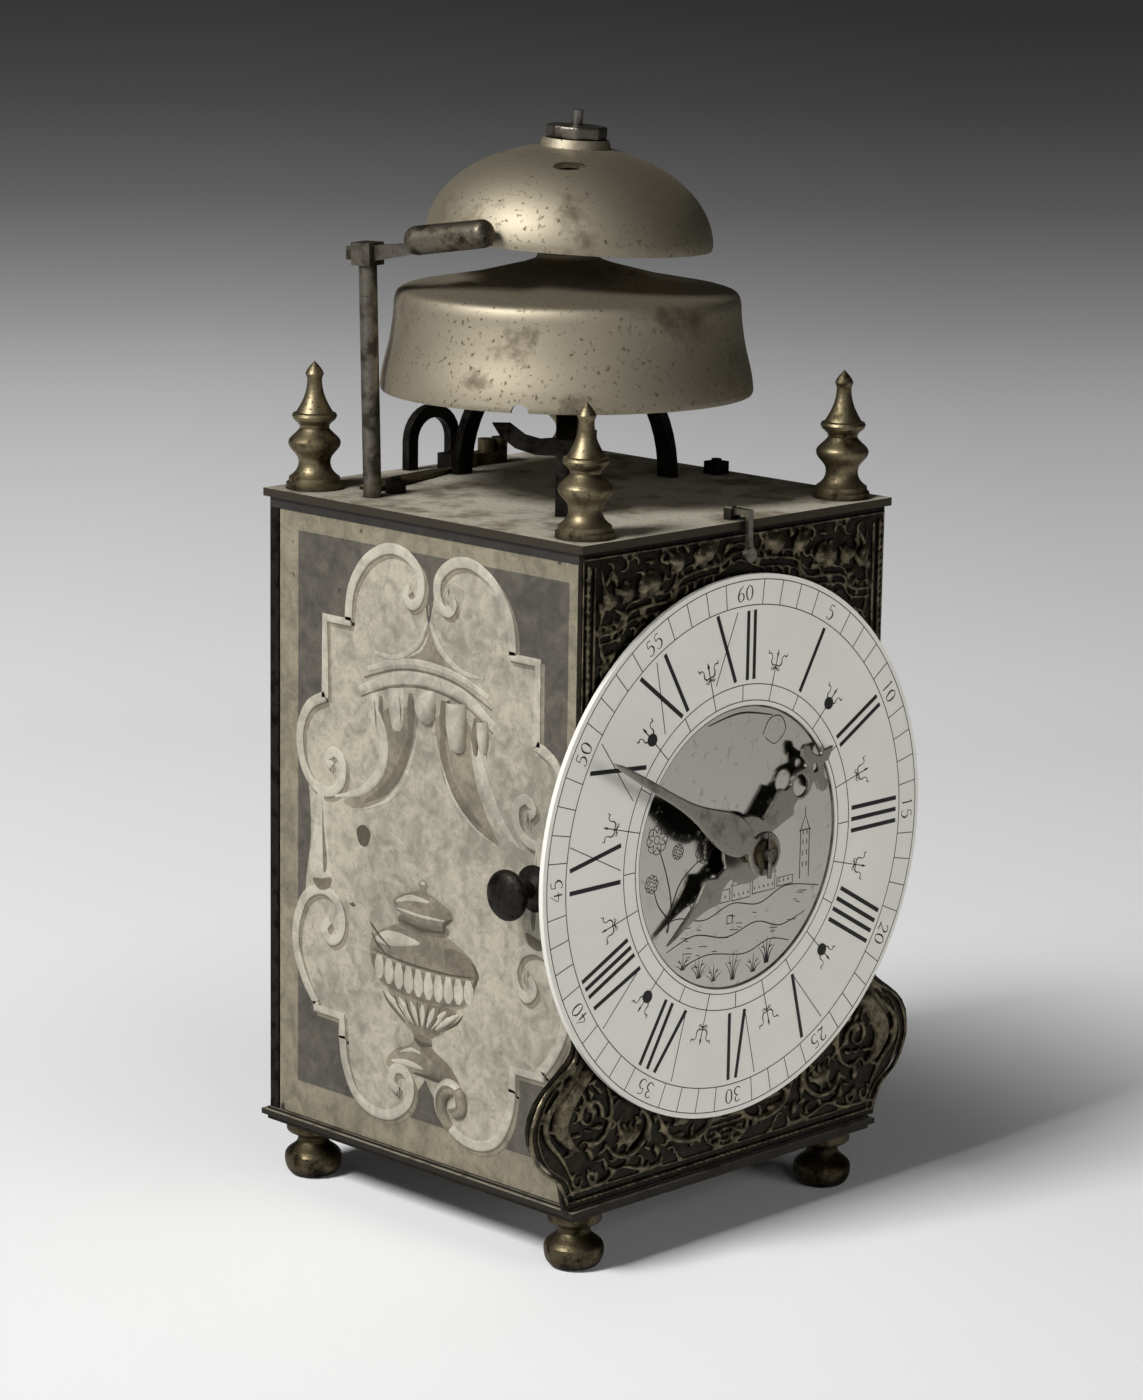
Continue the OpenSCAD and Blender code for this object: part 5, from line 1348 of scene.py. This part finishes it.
class CLOCK_OT_doors(bpy.types.Operator):
    """Paint the two side doors with strapwork, a draped canopy and an urn"""
    bl_idname = "clock.doors"
    bl_label = "Painted doors"

    def execute(self, context):
        tones = colours()
        paints = {
            "fields": paint("dark_fields", tones.field_paint, wear=0.8),
            "middle": paint("stone_middle", tones.stone_paint, wear=0.75, chips=False),
            "bands": paint("ivory_bands", tones.band_paint, wear=0.6, chips=False),
            "shades": paint("brown_shades", tones.shade_paint, wear=0.8, chips=False),
            # Dark paint for the painted shadow under the top plate's overhang
            "grime": paint("door_grime", linear("#2b2722"), wear=0.8, chips=False),
            "half": paint("half_tones", linear("#8b8370"), wear=0.8, chips=False),
            "darks": paint("umber_lines", linear("#544d3e"), wear=0.6, chips=False),
            "lights": paint("pale_lights", linear("#bdb7a5"), wear=0.5, chips=False),
        }
        layers = self.layers()
        for side, place in (("left", on_left_door()), ("right", on_right_door())):
            for name, make, lines, height, tone in layers:
                if side == "right":
                    lines = [mirrored(line, DOOR_HALF_WIDTH) for line in lines]
                piece = make(f"{side}_door_{name}", lines, height)
                settle(piece, place, paints[tone], side + "_door")
        return {"FINISHED"}

    def layers(self):
        """Lists the coats of paint: name, maker, lines, height and colour."""
        return [
            ("fields", flat, [rectangle(13, 11.5, 129, 185.5)], 0.05, "fields"),
            ("middle", flat, [field_outline()], 0.10, "middle"),
            ("shadows", strokes, self.band_shadows(), 0.13, "half"),
            ("band_lines", strokes, self.band_lines(), 0.16, "shades"),
            ("bands", strokes, self.bands(), 0.19, "bands"),
            ("canopy_half", flat, self.canopy_shadow(), 0.14, "half"),
            ("canopy_dark", strokes, self.canopy_deep(), 0.17, "shades"),
            ("canopy_folds", strokes, self.canopy(), 0.20, "bands"),
            ("canopy_lines", strokes, self.canopy_lines(), 0.23, "shades"),
            ("urn_body", flat, self.urn_body(), 0.14, "half"),
            ("urn_shade", flat, self.urn_shade(), 0.17, "shades"),
            ("urn_light", strokes, self.urn_light(), 0.21, "lights"),
            ("urn_dark", strokes, self.urn_dark(), 0.24, "darks"),
            ("stains", flat, self.stains(), 0.26, "darks"),
            ("husks", flat, self.husks(), 0.21, "bands"),
            ("husk_folds", flat, self.husk_folds(), 0.24, "shades"),
            # A painted shadow: a dark strip along the top of each door, under the top plate's overhang
            ("eaves", flat, [rectangle(0.5, 191.2, 133, 194.3)], 0.28, "grime"),
        ]

    def both(self, lines):
        """Adds to the lines their mirror image on the door's other half."""
        return lines + [mirrored(line, DOOR_MIDDLE) for line in lines]

    def bands(self):
        """The pale bands with their scrolls' round eyes."""
        eyes = ((62.6, 175), (28.6, 114.4), (27.6, 66.4), (59.2, 18.6))
        return self.both(strap_outline() + [dot(x, y, 4.2) for x, y in eyes])

    def husks(self):
        """The long bell-shaped flowers that hang from the middle scrolls."""
        husk = loop([(22.6, 108), (24.6, 108), (25.6, 99), (27.2, 89), (28.8, 81), (26, 78.8), (22, 78.8),
                     (18.6, 81.6), (19.8, 90), (21.4, 99)], 4)
        return self.both([husk])

    def husk_folds(self):
        """The husks' shaded hollow and right side."""
        hollow = loop([(20, 77.8), (23, 75), (27.4, 76.2), (28.4, 79.6), (24, 78.6)], 4)
        side = loop([(24.6, 104), (25, 96), (26.6, 84), (25, 81), (24.4, 92)], 4)
        return self.both([hollow, side])

    def band_shadows(self):
        """A soft brown shadow to the right of and under each band."""
        return [[(x + 1.5, y - 1.3, w * 1.05) for x, y, w in line] for line in self.bands()]

    def band_lines(self):
        """A finer, darker edge where each band meets its shadow."""
        return [[(x + 0.5, y - 0.5, w * 1.02) for x, y, w in line] for line in self.bands()]

    def canopy_shadow(self):
        """The shaded drapes that sweep down from the canopy to both sides."""
        left = loop([(66, 138), (65, 129), (60.5, 118), (52, 108.5), (40, 103.6), (34, 105), (44, 109.5),
                     (50, 117), (52.5, 127), (52, 136)])
        right = loop([(74.6, 138), (76, 127), (81, 116.5), (89, 108.6), (101, 103.6), (96, 112),
                      (91.5, 121), (89.5, 130), (88, 138)])
        tent = loop([(71, 165), (66.5, 157.5), (58, 152.6), (71, 151.8), (84, 152.6), (75.5, 157.5)])
        return [left, right, tent]

    def canopy_deep(self):
        """The darkest folds, between the valance's lobes and inside the drapes."""
        lines = [
            brush([(64.5, 134, 3), (60.5, 122, 4.4), (53, 112, 4), (43, 106, 2)], 6, 0.3),
            brush([(77, 134, 3), (79, 122, 5), (86, 113, 4.6), (95, 107.5, 2)], 6, 0.3),
        ]
        for x, top, low, width in ((50.4, 140, 128, 3), (63.6, 143, 131, 4.4), (77.6, 143, 131, 4.4),
                                   (91.4, 140, 129, 3.2)):
            lines.append(tapered([(x, top, width), (x, (top + low) / 2, width), (x + 0.2, low, width)], 0.5))
        return lines

    def canopy(self):
        """The arched valance with its lobes, the tent above it and the drapes' lit edges."""
        lines = [
            smooth([(44.6, 147.4, 2), (57, 151.4, 2.7), (70, 152.6, 2.7), (84, 151, 2.7),
                    (96.6, 146.8, 2)], 7),
            smooth([(41, 140.6, 2.6), (55, 146, 4.4), (70, 148, 4.4), (86, 145.6, 4.4),
                    (99, 138.6, 2.6)], 7),
            brush([(70.4, 165.5, 1.4), (66, 158, 2.2), (57, 152.8, 2), (47.4, 153, 1.6)], 6, 0.5),
            brush([(71.6, 165.5, 1.4), (76, 158, 2.2), (85, 152.8, 2), (94.8, 152.2, 1.6)], 6, 0.5),
            brush([(71, 162, 0.8), (68, 157, 1.2), (62, 153.6, 0.8)], 5, 0.5),
            dot(71, 169, 3.6),
            dot(47.6, 153.8, 2.6),
            dot(94.6, 153, 2.6),
            brush([(45.6, 139, 3.4), (51.2, 129, 4.4), (50.6, 118, 4.4), (42, 109.4, 3.4),
                   (30, 105.6, 1.6)], 7, 0.5),
            brush([(66.6, 131, 1), (62.4, 119, 1.8), (55, 109.4, 1.8), (43, 103.8, 0.8)], 7),
            brush([(91, 133, 3.4), (95.4, 121, 4.6), (101.6, 111, 4.2), (110, 104.2, 1.8)], 7),
            brush([(76, 126, 0.8), (81.5, 115, 1.4), (90, 107.4, 1.2), (100, 103.4, 0.6)], 7),
        ]
        for x, top, low, width in ((46.4, 141, 131, 6), (57, 143.6, 130.5, 7.6), (70.4, 145, 135, 8),
                                   (83.8, 143.6, 128.5, 7.6), (94.6, 139.5, 130, 4.4)):
            lines.append([(x, top, width), (x + 0.2, (top + low) / 2, width),
                          (x + 0.5, low + 1.6, width * 0.8), (x + 0.6, low, width * 0.35)])
        return lines

    def canopy_lines(self):
        """Thin lines under the valance's mouldings and down its lobes."""
        lines = [
            smooth([(43, 144.6, 0.7), (57, 149.2, 0.8), (70, 150.4, 0.8), (84, 148.8, 0.8),
                    (98, 143.4, 0.6)], 7),
            smooth([(41.6, 138.6, 0.6), (55, 143.6, 0.9), (70, 145.6, 0.9), (86, 143.2, 0.9),
                    (98.6, 136.6, 0.6)], 7),
        ]
        for x, top in ((47.6, 138), (58.6, 141), (72, 142), (85.4, 140), (95.4, 136)):
            lines.append(tapered([(x, top, 0.6), (x + 0.6, top - 4, 0.9), (x + 0.8, top - 8, 0.5)], 0.4))
        return lines

    def urn_body(self):
        """The urn's silhouette from finial to foot."""
        half = [(0.4, 87.2), (2.2, 85.4), (1.6, 83.4), (6, 82), (11.4, 79.6), (13.2, 77.4), (11.6, 75.4),
                (9.6, 74), (10.4, 71.4), (14, 70), (21, 66.4), (23.6, 61.6), (22.6, 57), (19, 51.6),
                (15, 49.6), (14.4, 46), (9.6, 41.4), (4.6, 38.6), (3.8, 36.4), (6.4, 34), (11.4, 32),
                (14.4, 29.4), (15.8, 27.4), (15.8, 25.4)]
        left = smooth([(URN_MIDDLE - x, y) for x, y in half], 4)
        right = smooth([(URN_MIDDLE + x, y) for x, y in half], 4)
        return [left + list(reversed(right))]

    def urn_shade(self):
        """The urn's dark parts: under its lid, at its right, behind its gadroons, round its foot."""
        return [
            loop([(60, 74.4), (70, 73.2), (79.4, 74.4), (79.8, 71.2), (70, 70), (59.6, 71.2)]),
            loop([(80, 67.6), (88, 67.4), (93, 63.6), (93, 60.4), (84, 60.4), (79.6, 62)]),
            loop([(47, 59.4), (58, 58.4), (70, 58), (82, 58.4), (92, 59.4), (89, 52.6), (80, 49.8),
                  (69.6, 49), (59, 49.8), (50, 52.6)]),
            loop([(73, 49), (83.4, 49), (83.6, 46), (78, 41.4), (73.6, 38.6), (70, 40)]),
            loop([(66, 38), (73.4, 38), (74, 35.4), (80.6, 32), (85.2, 28), (85.2, 25.6), (72, 25.6),
                  (76, 30), (69.6, 33.4)]),
        ]

    def urn_light(self):
        """Light on the urn's left side, its gadroons and leaves."""
        lines = [
            brush([(57.6, 78, 1.6), (64, 80.2, 2.4), (72, 80.4, 1.6)]),
            brush([(58, 76, 0.9), (68, 75.4, 1.2), (80, 76, 0.9)]),
            brush([(48.4, 64, 2.4), (53, 65.6, 5.4), (60, 66.4, 5), (68, 66.8, 2)]),
            brush([(56, 27.6, 1.6), (63, 28.4, 2.4), (70, 28, 1.4)]),
            brush([(60, 31.4, 1), (65, 33, 1.6), (69, 32.6, 0.8)], 4),
            [(69.4, 85.4, 2.2), (69.4, 86.2, 2)],
        ]
        for k in range(10):
            x = 50.2 + 4.35 * k
            drop = 2.6 * (1 - ((x - URN_MIDDLE) / 21) ** 2)
            lines.append([(x, 60 - drop * 0.5, 2.2), (x + 0.1, 57.8 - drop, 4.8), (x + 0.2, 54.8 - drop, 4.8),
                          (x + 0.2, 52.8 - drop, 1.8)])
        for k in range(7):
            x = 57 + 4.2 * k
            out = (x - URN_MIDDLE) * 0.16
            lines.append(tapered(smooth([(URN_MIDDLE + (x - URN_MIDDLE) * 0.45, 41.4, 1), (x - out, 45, 2.4),
                                         (x + out * 1.5, 48.2, 1.6)], 4), 0.4))
        return lines

    def urn_dark(self):
        """Deep lines at the urn's right, under its lid and between its gadroons."""
        lines = [
            brush([(82, 77, 1), (79, 75, 1.8), (78.6, 72, 1.6)]),
            brush([(91, 65.6, 1.4), (93, 62, 1.8), (91.6, 58, 1.4)], 6, 0.3),
            brush([(47.6, 61, 0.6), (58, 60, 0.7), (69, 59.6, 0.8), (82, 60, 0.8),
                   (92, 61.2, 0.7)], 5, 0.5),
            brush([(60, 72.6, 1), (69, 71.6, 1.6), (79, 72.4, 1)]),
            brush([(66, 37, 1.2), (69, 35.8, 1.8), (74, 36.4, 1.4)], 4),
            brush([(66, 26, 1), (76, 26, 1.6), (86, 25.8, 1.4)], 4),
            brush([(47, 66, 0.7), (50, 62.6, 1.1), (54, 60.4, 0.7)], 4),
        ]
        for k in range(8):
            x = 55 + 4.2 * k
            lines.append(tapered(smooth([(URN_MIDDLE + (x - URN_MIDDLE) * 0.5, 41, 0.6), (x, 45.4, 0.9),
                                         (x + (x - URN_MIDDLE) * 0.2, 48.8, 0.5)], 4), 0.4))
        return lines

    def stains(self):
        """A round dark spot and two small chips in the paint."""
        spot = [(43 + 3.0 * math.cos(a) * (1 + 0.12 * math.sin(3 * a)), 95.6 + 3.4 * math.sin(a))
                for a in [math.radians(20 * k) for k in range(18)]]
        chip = [(36.6, 73.2), (38.2, 72.4), (39.6, 73), (38.4, 73.8)]
        scar = [(46, 69.6), (50, 66.6), (54.6, 63.6), (55.2, 62.8), (50.6, 65.2), (46.8, 68.2)]
        return [spot, chip, scar]


class CLOCK_PT_panel(bpy.types.Panel):
    """Lists the pieces of the lantern clock"""
    bl_label = "Lantern Clock"
    bl_idname = "CLOCK_PT_panel"
    bl_space_type = "VIEW_3D"
    bl_region_type = "UI"
    bl_category = "Clock"

    def draw(self, context):
        for step in STEPS:
            self.layout.operator(step.bl_idname)
        for group in (context.scene.clock_colours, context.scene.dial_sizes, context.scene.clock_stage):
            box = self.layout.box()
            for name in group.__annotations__:
                box.prop(group, name)


GROUPS = {"clock_colours": ClockColours, "dial_sizes": DialSizes, "clock_stage": ClockStage}
STEPS = (CLOCK_OT_stage, CLOCK_OT_metals, CLOCK_OT_bells, CLOCK_OT_hands, CLOCK_OT_figures,
         CLOCK_OT_landscape, CLOCK_OT_front, CLOCK_OT_doors)


def register():
    for group in GROUPS.values():
        bpy.utils.register_class(group)
    for name, group in GROUPS.items():
        setattr(bpy.types.Scene, name, bpy.props.PointerProperty(type=group))
    for step in STEPS:
        bpy.utils.register_class(step)
    bpy.utils.register_class(CLOCK_PT_panel)


def unregister():
    bpy.utils.unregister_class(CLOCK_PT_panel)
    for step in reversed(STEPS):
        bpy.utils.unregister_class(step)
    for name, group in GROUPS.items():
        delattr(bpy.types.Scene, name)
        bpy.utils.unregister_class(group)


def main():
    """Makes the whole clock."""
    register()
    bpy.ops.clock.stage()
    bpy.ops.clock.metals()
    bpy.ops.clock.bells()
    bpy.ops.clock.hands()
    bpy.ops.clock.figures()
    bpy.ops.clock.landscape()
    bpy.ops.clock.front()
    bpy.ops.clock.doors()


if __name__ == "__main__":
    main()
